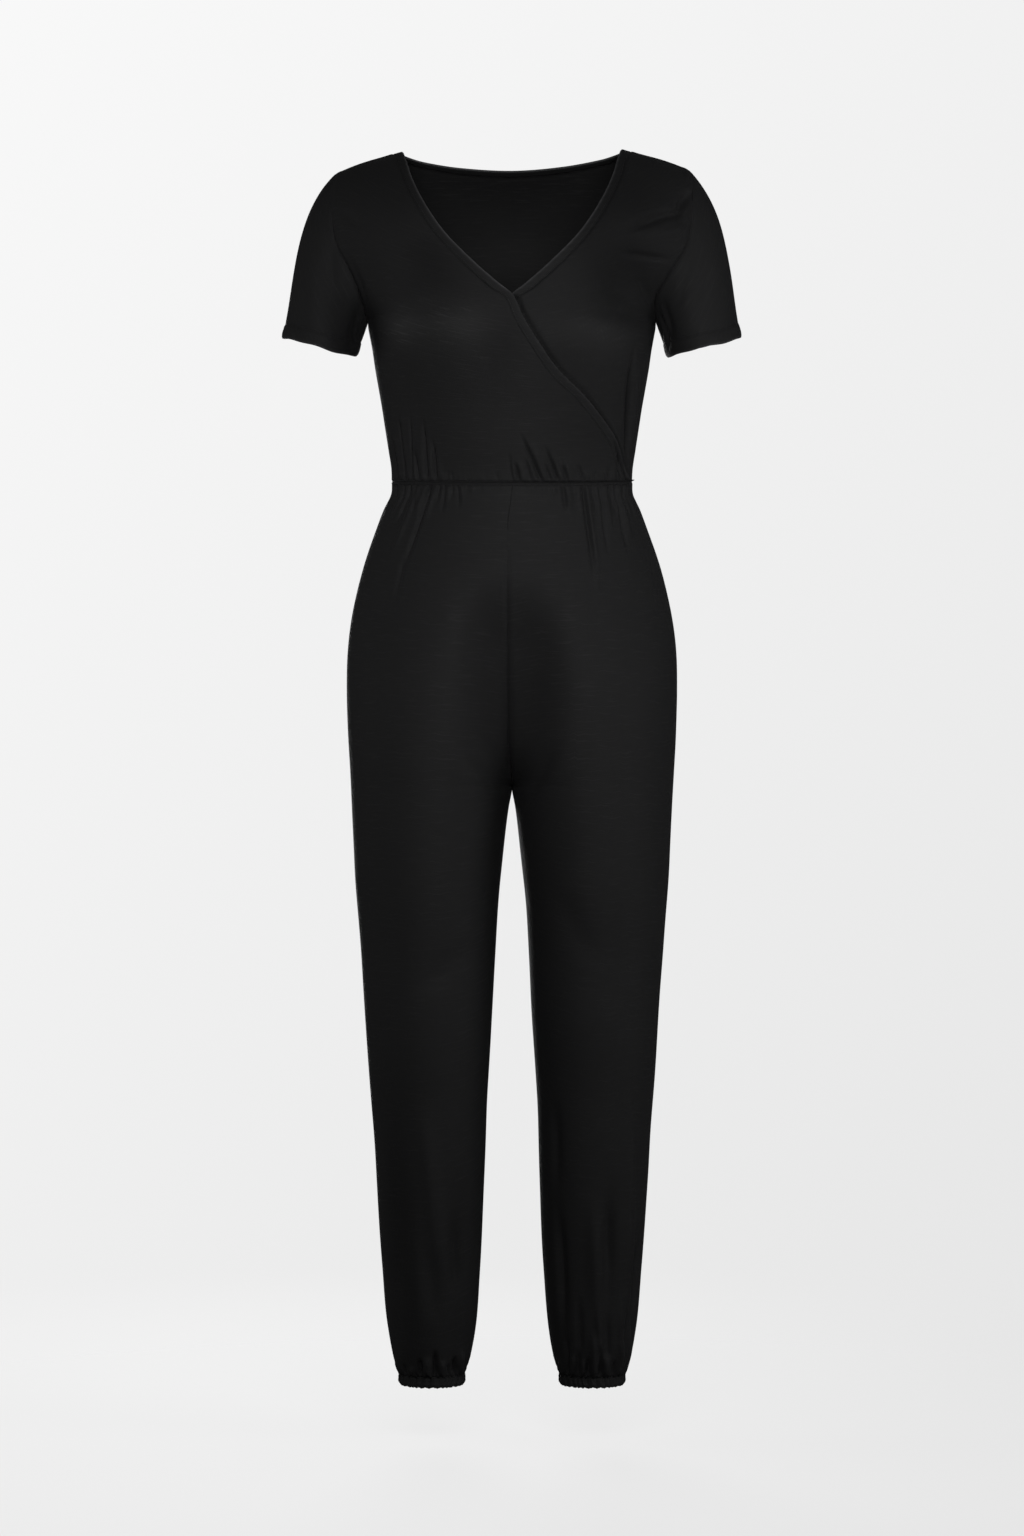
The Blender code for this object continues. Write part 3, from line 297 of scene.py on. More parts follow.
# A fold that starts and ends in open cloth, from one place and height to another
Fold = namedtuple("Fold", "height height_end out out_end rise width")
UNDER_FRONT_FOLDS = in_metres(Fold,
    # the crease beside the wrap, down to its end
    (-206, -346, 131.3, 125.7, -9.2, 4.8), (-216, -322, 139, 134, 1.6, 4),
    # drags from the armhole towards the neck
    (-2, -72, 199, 178, -6.4, 6), (-46, -92, 191, 122, -6.6, 6.8), (-64, -98, 196, 156, 2.2, 8),
    # and beside its lower half
    (-107, -118, 128, 170, -4.5, 4.6), (-130, -172, 150, 160, -2.6, 7))
UPPER_FRONT_FOLDS = in_metres(Fold,
    # beside the band at the wrap's end
    (-303, -392, 110.5, 139.1, -9.5, 3.8),
    # soft drags beside the right armhole and down the side
    (-100, -168, -185, -156, -2.4, 6), (-40, -82, -190, -166, -1.6, 7),
    (-210, -300, -118, -108, -1.6, 12))
BACK_FOLDS = in_metres(Fold,
    (-20, -74, -190, -142, -3.1, 7.5), (-80, -140, -180, -128, -3.4, 8), (-104, -160, -178, -138, 2.4, 8),
    (-34, -88, 190, 138, -3.2, 7.5), (-96, -150, 178, 130, -3.1, 8), (-190, -262, 124, 70, -2.7, 10),
    (-200, -268, -122, -64, -2.6, 10), (-250, -300, 40, -30, -2.4, 11))
TROUSER_FRONT_FOLDS = in_metres(Fold,
    # the long gathers' ends
    (-430, -500, -116.5, -130, -2.2, 3.4), (-450, -490, 90.5, 96.5, 1.4, 3),
    # drags out of the crotch
    (-640, -730, 54, 8, -2.9, 10), (-655, -725, -50, -10, -2.2, 10),
    # right leg
    (-1060, -1335, -134, -124, -4.2, 9.5), (-1080, -1330, -109, -104, 2.8, 11),
    (-1030, -1275, -100, -77, 4.2, 11), (-1160, -1272, -66, -61.2, -4.5, 7),
    (-1200, -1300, -88.5, -87, -2.2, 9),
    # left leg
    (-1030, -1160, 48, 51, -3.5, 8), (-1140, -1330, 51, 59.2, -5.4, 7.2),
    (-1140, -1310, 90, 96.5, 4.2, 8.5), (-1150, -1250, 107, 109, -3.5, 7),
    (-1030, -1300, 133, 127, 3.6, 8.5), (-1170, -1335, 142.5, 133, -6.4, 8),
    (-1110, -1335, 108, 105, -4.6, 8.5), (-1262, -1349, 96.2, 98.5, 3, 4),
    (-1275, -1349, 106.2, 106.5, -3.4, 4.2), (-1265, -1342, 121.5, 119, 2.6, 3.6),
    (-1268, -1342, 129.5, 125.5, -3.6, 3.8), (-1255, -1342, 74.2, 76.5, -2.8, 4),
    # slack across the knees
    (-800, -900, 50, 90, -1.9, 16), (-860, -930, -45, -100, -1.9, 16))
TROUSER_BACK_FOLDS = in_metres(Fold,
    # beside the middle seam
    (-560, -690, 16, 6, -3.5, 13), (-560, -690, -18, -6, -3.5, 13),
    # under the seat
    (-690, -760, 145, 30, -4.8, 14), (-700, -765, -140, -35, -4.5, 14), (-735, -810, 130, 50, 2.6, 13),
    (-745, -800, -135, -60, 2.4, 13),
    # behind the knees
    (-905, -950, 145, 50, -2.9, 11), (-930, -965, -142, -56, -3, 11), (-950, -1010, 50, 130, -2.2, 11),
    # above the ankles
    (-1060, -1300, -116, -118, -4.5, 8), (-1110, -1310, -60, -60, 3.8, 9),
    (-1150, -1290, -88, -88, -3.5, 8), (-1070, -1310, 114, 106, 3.8, 9), (-1030, -1290, 66, 66, -4.5, 8),
    (-1160, -1310, 129, 124, -3.8, 7))
# Painted shade along the fronts' two sharpest creases, with rises like those of the painted light table above
PAINTED_CREASE_SHADE = in_metres(Fold, (-300, -395, 109.5, 140.1, -3400, 4.6), (-216, -350, 131, 125.6, -1700, 4.6))
TAPER = 0.42            # share of a fold's length over which each of its ends fades
GATHER_STARTS = 0.55    # how far a gather has risen where it leaves its seam
SIDE_FROM = 0.109       # gathers further out than this follow the turn of the side
PRESSED = 0.30          # what is left of a gather in its stitching,
PRESSED_LENGTH = 0.008  # and how soon it stands up from there

# Sleeve creases: turn is the angle round the sleeve, 0 at the underarm and 90 at the front, and down is
# the share of the way from the armhole to the hem
SleeveCrease = namedtuple("SleeveCrease", "side turn turn_end down down_end rise width")
SLEEVE_CREASES = [SleeveCrease(*row) for row in (
    (1, 14, 8, 0.02, 0.62, -0.0034, 0.0046), (1, 26, 22, 0.05, 0.95, -0.0030, 0.0044),
    (1, 46, 40, 0.10, 0.80, -0.0024, 0.0050), (1, 36, 31, 0.10, 0.80, 0.0018, 0.0050),
    (1, 34, 26, 0.00, 0.95, -0.0040, 0.0130), (1, 88, 60, 0.02, 0.50, -0.0014, 0.0080),
    (1, 318, 336, 0.02, 0.80, -0.0026, 0.0060), (1, 286, 300, 0.10, 0.70, -0.0018, 0.0070),
    (-1, 18, 12, 0.02, 0.70, -0.0026, 0.0060), (-1, 36, 26, 0.02, 0.96, -0.0052, 0.0130),
    (-1, 96, 70, 0.04, 0.50, -0.0010, 0.0080), (-1, 322, 338, 0.02, 0.85, -0.0026, 0.0060),
    (-1, 290, 306, 0.12, 0.75, -0.0016, 0.0070))]

# Fine crimping where cloth is drawn onto elastic
CRIMP_PITCH = 0.0052
CRIMP_DRIFT = (1.6, 0.23, 1.0)  # its waves crowd and spread: how far, how often, and from where
CRIMP_SLOW = (0.5, 0.61, 2.0)   # a second, slower wave: its share, how often, and from where
WAIST_CRIMP = 0.00042
ANKLE_CRIMP = 0.00075
ELASTIC_CRIMP = 0.00012
CRIMP_LENGTH = 0.008
CALM = 0.85                 # share of it that is missing across the waist's middle in front
CALM_CENTRE = -0.007        # middle of that on the bodice
CALM_HALF = 0.055

TRENCH = 0.0055             # the under front sinks beside the edge that lies on it
TRENCH_AT = 0.0006
TRENCH_WIDTH = 0.0030
TRENCH_TOP = -0.155
TRENCH_ONSET = 0.01
CENTRE_FAINT = 0.10         # the middle seams are almost flat from the waist to the first height,
CENTRE_SOFT = (-0.410, -0.500)  # and fully sunk from the second one
CENTRE_LINES = 0.00018      # with a faint line on each side over their turned edges
CENTRE_LINES_AT = 0.0027
CENTRE_LINES_WIDTH = 0.0008
CENTRE_DIP = 0.0040         # the middle seams draw in towards the crotch
CENTRE_DIP_TOP = -0.530
CENTRE_DIP_ONSET = 0.16
CENTRE_DIP_WIDTH = 0.006
CENTRE_HELD = 0.007         # this near the seam both halves stay on their own side of the middle
VALLEY_TOP = -0.452         # a broad soft valley along them, deeper on the left half in front
VALLEY_FOOT = -0.780
VALLEY_ONSET = 0.095        # lengths over which it starts and ends
VALLEY_LENGTH = 0.200
VALLEY_FRONT = 0.0190
VALLEY_BACK = 0.0050
VALLEY_WIDTH = {1: 0.052, -1: 0.050}
SEAM_DRIFT = -0.0050        # the front one is drawn over to one side on its way to the crotch
SEAM_DRIFT_REACH = 0.050
SEAM_DRIFT_ONSET = 0.05

# The waist elastic: its cloth dips into one dark line, at a share of its height, over a low lip
WAIST_LINE = 0.52
WAIST_LINE_DEPTH = 0.0017
WAIST_LINE_WIDTH = 0.16
WAIST_LIP = 0.0006
WAIST_LIP_BELOW = 0.30
SHALLOW = 0.75              # share of its depth that is missing past the wrap's end and at the sides:
SHALLOW_PAST = 0.088        # this far out,
SHALLOW_OVER = (0.014, 0.030)  # growing over these widths outwards and forwards,
SHALLOW_SIDE = 0.007        # and this near the sides

# The ankle casings: puffed, rippled tubes. Shares are of their height
RIPPLE_PITCH = 0.0074
RIPPLE_DRIFTS = ((1.9, 0.19, 0), (0.7, 0.37, 1))
RIPPLE_QUICK = (0.45, 2.3)  # a second, quicker wave: its share, and how often
RIPPLE = 0.0008
RIPPLE_LEAST = 0.35         # share of it at their two edges
RIPPLE_HEM = 0.0006         # how far it moves the hem up and down, and over which share
RIPPLE_HEM_OVER = 0.5
PUFF = 0.0009
PUFF_FULL = 0.6             # lower is fuller towards the two edges
CASING_INSET = 0.0004       # how far they are drawn in,
CASING_RISE = 0.0009        # and how far their upper half stands out again
CASING_ROUND = 0.0010       # rounding at the hem, and its share of the height
CASING_ROUND_OVER = 0.12
CASING_TOP_DIP = 0.0001
CASING_TOP_OVER = 0.10
CASING_STITCHES = 0.86
CASING_STITCH_DIP = 0.0005
CASING_STITCH_WIDTH = 0.06
# a painted highlight along the casing's folded hem: its strength, and the share of the height it covers
CASING_HIGHLIGHT = 0.5
CASING_HIGHLIGHT_OVER = 0.1

# Slack in the cloth: slow waves over the whole garment
SLACK = 0.0007
SLACK_DRIFT = (0.8, 0.43)
SLACK_KEEPS_OFF = 0.012     # from the side seams and armholes
Wave = namedtuple("Wave", "out back up phase share")
WAVES = [Wave(*row) for row in (
    (21.0, 9.0, 33.0, 0.4, 0.30), (-34.0, 17.0, 25.0, 2.1, 0.24), (46.0, -28.0, -13.0, 4.0, 0.18),
    (12.0, 41.0, 58.0, 1.2, 0.16), (-63.0, -20.0, 44.0, 5.3, 0.12))]

# Fineness of the shells: rows and columns
BODICE_GRID = (181, 241)
SHOULDER_COLUMNS = 21       # of the back's, over each shoulder seam
TROUSER_GRID = (281, 157)
TROUSER_BACK_GRID = (281, 129)
SLEEVE_GRID = (61, 200)
BAND_LENGTHS = 321
ELASTIC_GRID = (9, 480)
CASING_GRID = (21, 240)
END_DENSITY = 0.62          # how much closer the sleeves' rows lie at their two ends
BODICE_ROWS = [(WAIST, 0.045, 0.7), (SHOULDER, 0.060, 0.8)]
TROUSER_ROWS = [(WAIST, 0.050, 1.6), (CROTCH, 0.022, 2.2), (CASING_TOP, 0.060, 1.6)]
FINE_STEP, COARSE_STEP = 1e-4, 1e-3  # for slopes


# ---- forms ----

def curve(t, start, start_slope, end, end_slope):
    """The smooth way from start to end that leaves and arrives with the given slopes."""
    return ((1 + 2 * t) * (1 - t) ** 2 * start + t * (1 - t) ** 2 * start_slope
            + t * t * (3 - 2 * t) * end + t * t * (t - 1) * end_slope)


def smooth(table, column, at):
    """Value of a table's column on the smooth curve through its rows; the first column is the key."""
    keys = np.array([row[0] for row in table])
    values = np.array([getattr(row, column) for row in table])
    slopes = np.gradient(values, keys)
    at = np.asarray(at, float)
    i = np.clip(np.searchsorted(keys, at) - 1, 0, len(keys) - 2)
    span = keys[i + 1] - keys[i]
    return curve((at - keys[i]) / span, values[i], span * slopes[i], values[i + 1], span * slopes[i + 1])


def ease(value):
    """0 to 1 with level ends."""
    t = np.clip(value, 0.0, 1.0)
    return t * t * (3 - 2 * t)


def bell(value):
    return np.exp(-value ** 2)


def unit(vectors):
    return vectors / np.linalg.norm(vectors, axis=-1, keepdims=True)


def body(angle, height, face):
    """Point of the upper body: the angle from the middle to a side, and the height up the cloth."""
    climb = np.clip((height - CHEST) / ARCH, 0, None) * math.pi / 2
    out = smooth(BODY, "half_width", height) * np.sin(angle)
    depth = np.where(face < 0, smooth(BODY, "front", height), smooth(BODY, "back", height))
    top = smooth(SHOULDER_LINE, "top", np.abs(out)) + SHOULDER_TILT * out
    up = np.minimum(height, CHEST) + (top - CHEST) * np.sin(climb)
    return np.stack([out, face * depth * np.cos(angle) * np.cos(climb), up], -1)


def body_angle(out, height):
    """Angle from the middle of the point of the body that is this far out."""
    return np.arcsin(np.clip(out / smooth(BODY, "half_width", height), -1, 1))


def leg_share(height):
    """0 where a half is one quarter round, 1 where it is a leg's whole half round."""
    return ease((LEGS_START - height) / (LEGS_START - CROTCH))


def leg_sizes(height):
    """A section's outer edge, centre, inner edge, the share of a half round, and how hollow its middle is."""
    outer = smooth(TROUSERS, "outer", height)
    inner = np.where(height < CROTCH, smooth(TROUSERS, "inner", height), 0)
    share = leg_share(height)
    hollow = np.clip((LEGS_START - height) / (LEGS_START - CROTCH), LEAST_HOLLOW, 1) ** PARTING
    return outer, inner + share * (outer - inner) / 2, inner, share, hollow


def leg(angle, height, face):
    """Point of the left half of the trousers: angle from the side seam to the middle seam or inseam."""
    outer, centre, inner, share, hollow = leg_sizes(height)
    depth = np.where(face < 0, smooth(TROUSERS, "front", height), smooth(TROUSERS, "back", height))
    bend = np.arcsin(hollow) * (angle - math.pi / 2) / (math.pi / 2 * np.maximum(share, 1e-4))
    outside = angle <= math.pi / 2
    out = np.where(outside, centre + (outer - centre) * np.cos(angle),
                   centre - (centre - inner) * np.sin(bend) / hollow)
    deep = np.where(outside, np.sin(angle), np.cos(bend))
    return np.stack([out, smooth(TROUSERS, "middle", height) + face * depth * deep, height], -1)


def leg_angle(out, height):
    """Angle from the side seam of the point of a left half that is this far out."""
    outer, centre, inner, share, hollow = leg_sizes(height)
    outside = np.arccos(np.clip((out - centre) / (outer - centre), 0, 1))
    bend = np.arcsin(np.clip((centre - out) * hollow / np.maximum(centre - inner, 1e-4), 0, hollow))
    inside = math.pi / 2 * (1 + share * bend / np.arcsin(hollow))
    return np.where(out >= centre, outside, inside)


def angle_step(form, angle, height, face, step):
    """How far a form's point moves over two small steps of angle."""
    return form(angle + step, height, face) - form(angle - step, height, face)


def outward(form, angle, height, face):
    """Unit normals of a form, facing away from the wearer."""
    around = angle_step(form, angle, height, face, FINE_STEP)
    up = form(angle, height + FINE_STEP, face) - form(angle, height - FINE_STEP, face)
    facing = -face if form is body else face
    return unit(np.cross(around, up) * facing[..., None])


def edge_angle(height, inset):
    """Angle of a front's free edge at a height, moved in from the edge by inset."""
    across, below, above = (smooth(WRAP_EDGE, "across", height + COARSE_STEP * step) for step in (0, -1, 1))
    slope = (above - below) / (2 * COARSE_STEP)
    return body_angle(across - inset * np.hypot(1, slope), height)


def armhole_angle(height):
    """Angle of a bodice's outer edge: the side seam below the underarm, the armhole above it."""
    above = body_angle(smooth(ARMHOLE, "out", np.maximum(height, UNDERARM)), height)
    return np.where(height <= UNDERARM, math.pi / 2, above)


def neck_half_angle(inset):
    """Angle from the middle to the back neck's corner, at the shoulder seam."""
    return np.arcsin((NECK_HALF + inset) / BODY[-1].half_width)


def back_top(angle, inset):
    """Height of the back's upper edge: the shoulder seams, and between them the neck curve."""
    within = np.clip(1 - (angle / neck_half_angle(inset)) ** 2, 0, 1)
    return SHOULDER - (BACK_NECK_DROP + inset * BACK_NECK_SPREAD) * within ** BACK_NECK_SQUARE


def neck_places(count):
    """Places across the back neck from -1 to 1, closer together towards its corners."""
    return -np.cos(np.linspace(0, math.pi, count))


def spaced(start, end, count, closer):
    """Heights from start to end, closer together around some: each (height, reach, how much)."""
    fine = np.linspace(start, end, 4001)
    density = 1 + sum(extra * bell((fine - height) / reach) for height, reach, extra in closer)
    done = np.insert(np.cumsum(density[1:] + density[:-1]), 0, 0)
    return np.interp(np.linspace(0, done[-1], count), done, fine)


def lengths_along(points, axis):
    """Distance over the cloth from the first row (axis 0) or column (axis 1)."""
    step = np.linalg.norm(np.diff(points, axis=axis), axis=-1)
    return np.insert(np.cumsum(step, axis=axis), 0, 0, axis=axis)


def all_round(columns):
    """For a ring's columns, in front and then behind: their faces and shares of the way across."""
    half = np.linspace(0, 1, columns // 2 + 1)
    return np.where(np.arange(columns) <= columns // 2, -1, 1), np.concatenate([half, half[-2:0:-1]])


class Cloth:
    """A grid of points with their outward normals, and the lengths from its first column and first row."""

    def __init__(self, points, normal):
        self.points = points
        self.normal = normal
        self.along = lengths_along(points, 1)
        self.up = lengths_along(points, 0)


class Panel(Cloth):
    """Cloth over a form. It knows its angles and heights, and the length of cloth in a radian."""

    def __init__(self, form, angles, heights, face, side=1):
        angles, heights, face = np.broadcast_arrays(angles, heights, face)
        mirror = np.array([side, 1, 1])
        place = (angles, heights, face)
        super().__init__(form(*place) * mirror, outward(form, *place) * mirror)
        self.angles = angles
        self.heights = heights
        self.angle_of = body_angle if form is body else leg_angle
        moved = angle_step(form, *place, COARSE_STEP)
        self.radius = np.linalg.norm(moved, axis=-1) / (2 * COARSE_STEP)


# ---- folds and seams ----

def fold_rise(fold, panel, risen=0.0):
    """One fold's rise over a panel. risen is how far it has risen already where it leaves a seam."""
    drop = fold.height - fold.height_end
    aside = fold.out_end - fold.out
    run = (fold.height - panel.heights) / drop
    inside = (run >= 0) & (run <= 1)
    run = np.clip(run, 0, 1)
    if risen and abs(fold.out) > SIDE_FROM:
        ends = np.array([fold.out, fold.out_end])
        start, end = panel.angle_of(ends, np.array([fold.height, fold.height_end]))
        path = start + (end - start) * run
    else:
        path = panel.angle_of(fold.out + aside * run, panel.heights)
    across = (panel.angles - path) * panel.radius / math.hypot(1, aside / drop)
    strength = ease(risen + run / TAPER) * ease((1 - run) / TAPER)
    return np.where(inside, fold.rise * strength * bell(across / fold.width), 0)


def folded(folds, panel):
    return sum(fold_rise(fold, panel) for fold in folds)


def gathered(gathers, seam, way, panel):
    """Gathers that leave an elastic seam, up (way 1) or down (-1). They are flatter at the stitching."""
    total = 0
    for gather in gathers:
        fold = Fold(seam, seam + way * gather.length, gather.out, gather.out_end, gather.rise, gather.width)
        total = total + fold_rise(fold, panel, GATHER_STARTS)
    return total * (PRESSED + (1 - PRESSED) * ease(np.abs(panel.heights - seam) / PRESSED_LENGTH))


def uneven(turn, *drifts):
    """A wave that crowds and spreads. A drift says how far, how often in each wave, and from where."""
    drifted = turn
    for far, often, start in drifts:
        drifted = drifted + far * np.sin(turn * often + start)
    return np.sin(drifted)


def crimp(distance_along, distance_from_seam, rise):
    """Fine uneven crimping beside an elastic seam."""
    turn = distance_along / CRIMP_PITCH * 2 * math.pi
    share, often, start = CRIMP_SLOW
    waves = uneven(turn, CRIMP_DRIFT) + share * np.sin(turn * often + start)
    return rise * waves * np.exp(-distance_from_seam / CRIMP_LENGTH)


Seam = namedtuple("Seam", "distance turned depth", defaults=(0, 1.0))


def rolled(*seams):
    """Cloth rolls up from its seams, each so deep, and rises over their edges that are turned inside."""
    full = math.prod(1 - seam.depth * bell(seam.distance / SEAM_GROOVE) for seam in seams)
    ridge = sum(seam.turned * bell((seam.distance - ALLOWANCE_AT) / ALLOWANCE_WIDTH) for seam in seams)
    return (SEAM_ROLL + ridge) * full


def armhole_sunk(turn):
    """How deep the armhole seam is, by the angle round it: fully at the underarm, less over the cap."""
    return 1 - ARMHOLE_EASE * ((1 - np.cos(turn)) / 2) ** 2


def even_armhole(side, face, count):
    """Heights up an armhole's front or back that are evenly spaced over the seam."""
    dense = np.linspace(UNDERARM, SHOULDER, 600)
    along = lengths_along(body(side * armhole_angle(dense), dense, face), 0)
    return np.interp(np.linspace(0, along[-1], count), along, dense)


def bodice_armhole(side, face, heights):
    """The armhole seam's depth at a bodice's heights."""
    turn = np.linspace(0, math.pi, 101)
    return armhole_sunk(np.interp(heights, even_armhole(side, face, len(turn)), turn))


def slack(points, to_edge=math.inf):
    total = 0
    for wave in WAVES:
        turn = points @ np.array([wave.out, wave.back, wave.up]) + wave.phase
        total = total + wave.share * uneven(turn, (*SLACK_DRIFT, wave.phase))
    return SLACK * total * (1 - bell(to_edge / SLACK_KEEPS_OFF))


def mounds(table, points):
    """Sum of a table's soft mounds at points, in front."""
    total = 0
    for mound in table:
        up = points[..., 2] - mound.height
        spread = np.where(up > 0, mound.above, mound.below)
        total = total + mound.rise * bell((points[..., 0] - mound.out) / mound.across) * bell(up / spread)
    return total * ease(-points[..., 1] / SWELL_FADES)


def settled(points):
    """Lets the front of the waist hang below its sides, and the front's middle seam wander."""
    in_front = np.clip(-points[..., 1] / WAIST_FRONT, 0, 1)
    height = points[..., 2]
    sag = WAIST_SAG * in_front * bell((height - WAIST) / WAIST_SAG_REACH)
    along_seam = ease((WAIST - height) / SEAM_DRIFT_ONSET) * ease((height - CROTCH) / SEAM_DRIFT_ONSET)
    drift = SEAM_DRIFT * in_front * along_seam * bell(points[..., 0] / SEAM_DRIFT_REACH)
    return points + np.stack([drift, 0 * drift, -sag], -1)


# ---- meshes ----

SHORTEST_SIDE = 0.010       # of a sheet's flat size


def placed(name, data):
    """A new object in the scene."""
    made = bpy.data.objects.new(name, data)
    bpy.context.scene.collection.objects.link(made)
    return made


def quads(ids):
    """Faces of a grid of point numbers."""
    return np.stack([ids[:-1, :-1], ids[:-1, 1:], ids[1:, 1:], ids[1:, :-1]], -1).reshape(-1, 4)


def rim(outer, inner, stride):
    """Faces that close an edge, where the inner wall has one point for every stride outer ones."""
    return [[*outer[n * stride:(n + 1) * stride + 1], inner[n + 1], inner[n]] for n in range(len(inner) - 1)]


def flipped(faces):
    return [face[::-1] for face in faces]


def wall_mesh(name, outer, inner, normal, uv, looks, ring, stride):
    """Closed wall of a fine outer grid and an inner one that has every stride-th row and column."""
    outer_id, inner_id = (np.arange(grid[..., 0].size).reshape(grid.shape[:2]) for grid in (outer, inner))
    inner_id += outer_id.size
    if ring:
        outer_id, inner_id = (np.hstack([ids, ids[:, :1]]) for ids in (outer_id, inner_id))
    faces = quads(outer_id).tolist() + quads(inner_id)[:, ::-1].tolist()
    faces += flipped(rim(outer_id[0], inner_id[0], stride)) + rim(outer_id[-1], inner_id[-1], stride)
    if not ring:
        faces += rim(outer_id[:, 0], inner_id[:, 0], stride)
        faces += flipped(rim(outer_id[:, -1], inner_id[:, -1], stride))
    if np.cross(outer[0, 1] - outer[0, 0], outer[1, 0] - outer[0, 0]) @ normal[0, 0] < 0:
        faces = flipped(faces)
    mesh = bpy.data.meshes.new(name)
    mesh.from_pydata(np.vstack([outer.reshape(-1, 3), inner.reshape(-1, 3)]).tolist(), [], faces)
    corner = np.zeros(len(mesh.loops), np.int32)
    mesh.loops.foreach_get("vertex_index", corner)
    all_uv = np.vstack([uv.reshape(-1, 2), uv[::stride, ::stride].reshape(-1, 2)])
    mesh.uv_layers.new(name="cloth").data.foreach_set("uv", all_uv[corner].astype(np.float32).ravel())
    for look_name, look in looks.items():
        both = np.concatenate([look.ravel(), look[::stride, ::stride].ravel()])
        mesh.attributes.new(look_name, "FLOAT", "POINT").data.foreach_set("value", both.astype(np.float32))
    mesh.shade_smooth()
    return mesh


def overlapped(points, sewn):
    """Lengthens a grid a little past each of its sewn edges: first, last, bottom or top."""
    moved = points.copy()
    for name, edge, near in (("first", moved[:, 0], points[:, 1]), ("last", moved[:, -1], points[:, -2]),
                             ("bottom", moved[0], points[1]), ("top", moved[-1], points[-2])):
        if name in sewn:
            edge += SEAM_OVERLAP * unit(edge - near)
    return moved


def slot_of(node):
    parts = frame["record"]["subparts"]
    return next(part["material_slot"] for part in parts if part["node"] == node)


def shell(node, cloth, rise, material, ring=False, thickness=CLOTH, stride=2,
          edge=0.0, painted_light=0.0, middle=0.0, sewn=("first", "last", "bottom", "top")):
    """The shell that stands for a node: its outer points are the cloth's, pushed out by rise.

    edge (a painted highlight along folded edges) and the next argument (painted highlights and shade) are
    what its material reads. middle is 1 on a seam that stays in the body's middle.
    """
    outer = cloth.points + cloth.normal * rise[..., None]
    inner = outer - cloth.normal * np.broadcast_to(thickness, rise.shape)[..., None]
    for wall in (outer, inner):
        wall[..., 0] -= wall[:, -1:, 0] * middle
    outer, inner = (settled(overlapped(wall, sewn)) for wall in (outer, inner))
    closed = np.concatenate([outer, outer[:, :1]], 1) if ring else outer
    along, up = lengths_along(closed, 1), lengths_along(outer, 0)
    from_start = along[:, :outer.shape[1]]
    centre = from_start[:, from_start.shape[1] // 2][:, None]
    uv = np.stack([from_start - centre, up], -1)
    looks = {"edge": edge + 0 * from_start, "painted_light": painted_light + 0 * from_start}
    mesh = wall_mesh(node, outer, inner[::stride, ::stride], cloth.normal, uv, looks, ring, stride)
    mesh.materials.append(material)
    piece = placed("cloth_" + node, mesh)
    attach(piece, BODY_NAME)
    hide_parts(node)
    slot_of(node)
    a, b, c, d = closed[:-1, :-1], closed[1:, :-1], closed[:-1, 1:], closed[1:, 1:]
    area = sum(np.linalg.norm(np.cross(b - corner, c - corner), axis=-1).sum() / 2 for corner in (a, d))
    width, length = along[:, -1].max(), up[-1].max()
    if "band" in node or "elastic" in node:
        width, length = max(width, length), max(area / max(width, length), SHORTEST_SIDE)
    min(area, width * length)
    return Cloth(outer, cloth.normal)


# ---- pieces ----

def wrap_rise(angles, side, upper):
    """How far a front lies above or below the other one. side is the x sign of its shoulder."""
    shared = ease((angles * side + CROSSING) / (2 * CROSSING))   # 1 on its own side
    return WRAP_LIFT * (1 - shared) * (1 if upper else -1)


def on_neck(points):
    """1 where a band edges the neck, 0 where it lies on the other front."""
    return ease((points[..., 2] - WRAP_STARTS) / WRAP_STARTS_OVER)


def front_rise(panel, side):
    """What a front and its band share: fullness, the lift over the other front, gathers and folds."""
    rise = gathered(BODICE_FRONT_GATHERS, WAIST, 1, panel) + folded(UPPER_FRONT_FOLDS, panel)
    if side > 0:
        past_edge = (panel.angles - edge_angle(panel.heights, 0)) * panel.radius
        trench = TRENCH * ease((TRENCH_TOP - panel.heights) / TRENCH_ONSET)
        rise = np.minimum(rise, 0) + folded(UNDER_FRONT_FOLDS, panel)
        rise -= trench * bell((past_edge - TRENCH_AT) / TRENCH_WIDTH)
    return mounds(SWELLS, panel.points) + wrap_rise(panel.angles, side, side < 0) + rise


def front(side, word):
    """One front, from its side seam and armhole across to the seam of its band."""
    rows, columns = BODICE_GRID
    heights = spaced(WAIST + SEWN_AT, SHOULDER, rows, BODICE_ROWS)[:, None]
    start = side * armhole_angle(heights)
    end = -side * edge_angle(heights, BAND_WIDTH + SEAM_GAP)
    panel = Panel(body, start + (end - start) * np.linspace(0, 1, columns), heights, -1)
    from_side, up = panel.along, panel.up
    rise = front_rise(panel, side) + slack(panel.points, from_side)
    if side < 0:
        calm = bell((panel.points[..., 0] - CALM_CENTRE) / CALM_HALF)
        rise += crimp(from_side, up, WAIST_CRIMP) * (1 - CALM * calm)
    wrap_depth = WRAP_SEAM + (1 - WRAP_SEAM) * on_neck(panel.points)
    rise += rolled(Seam(from_side, ALLOWANCE_RISE, bodice_armhole(side, -1, panel.heights)),
                   Seam(from_side[:, -1:] - from_side, 0, wrap_depth), Seam(up[-1] - up, ALLOWANCE_RISE))
    # its material gets painted highlights and shade, and painted shade along the sharpest creases
    return shell("bodice_front_" + word, panel, rise, JERSEY,
                 painted_light=mounds(PAINTED_LIGHT, panel.points) + folded(PAINTED_CREASE_SHADE, panel))


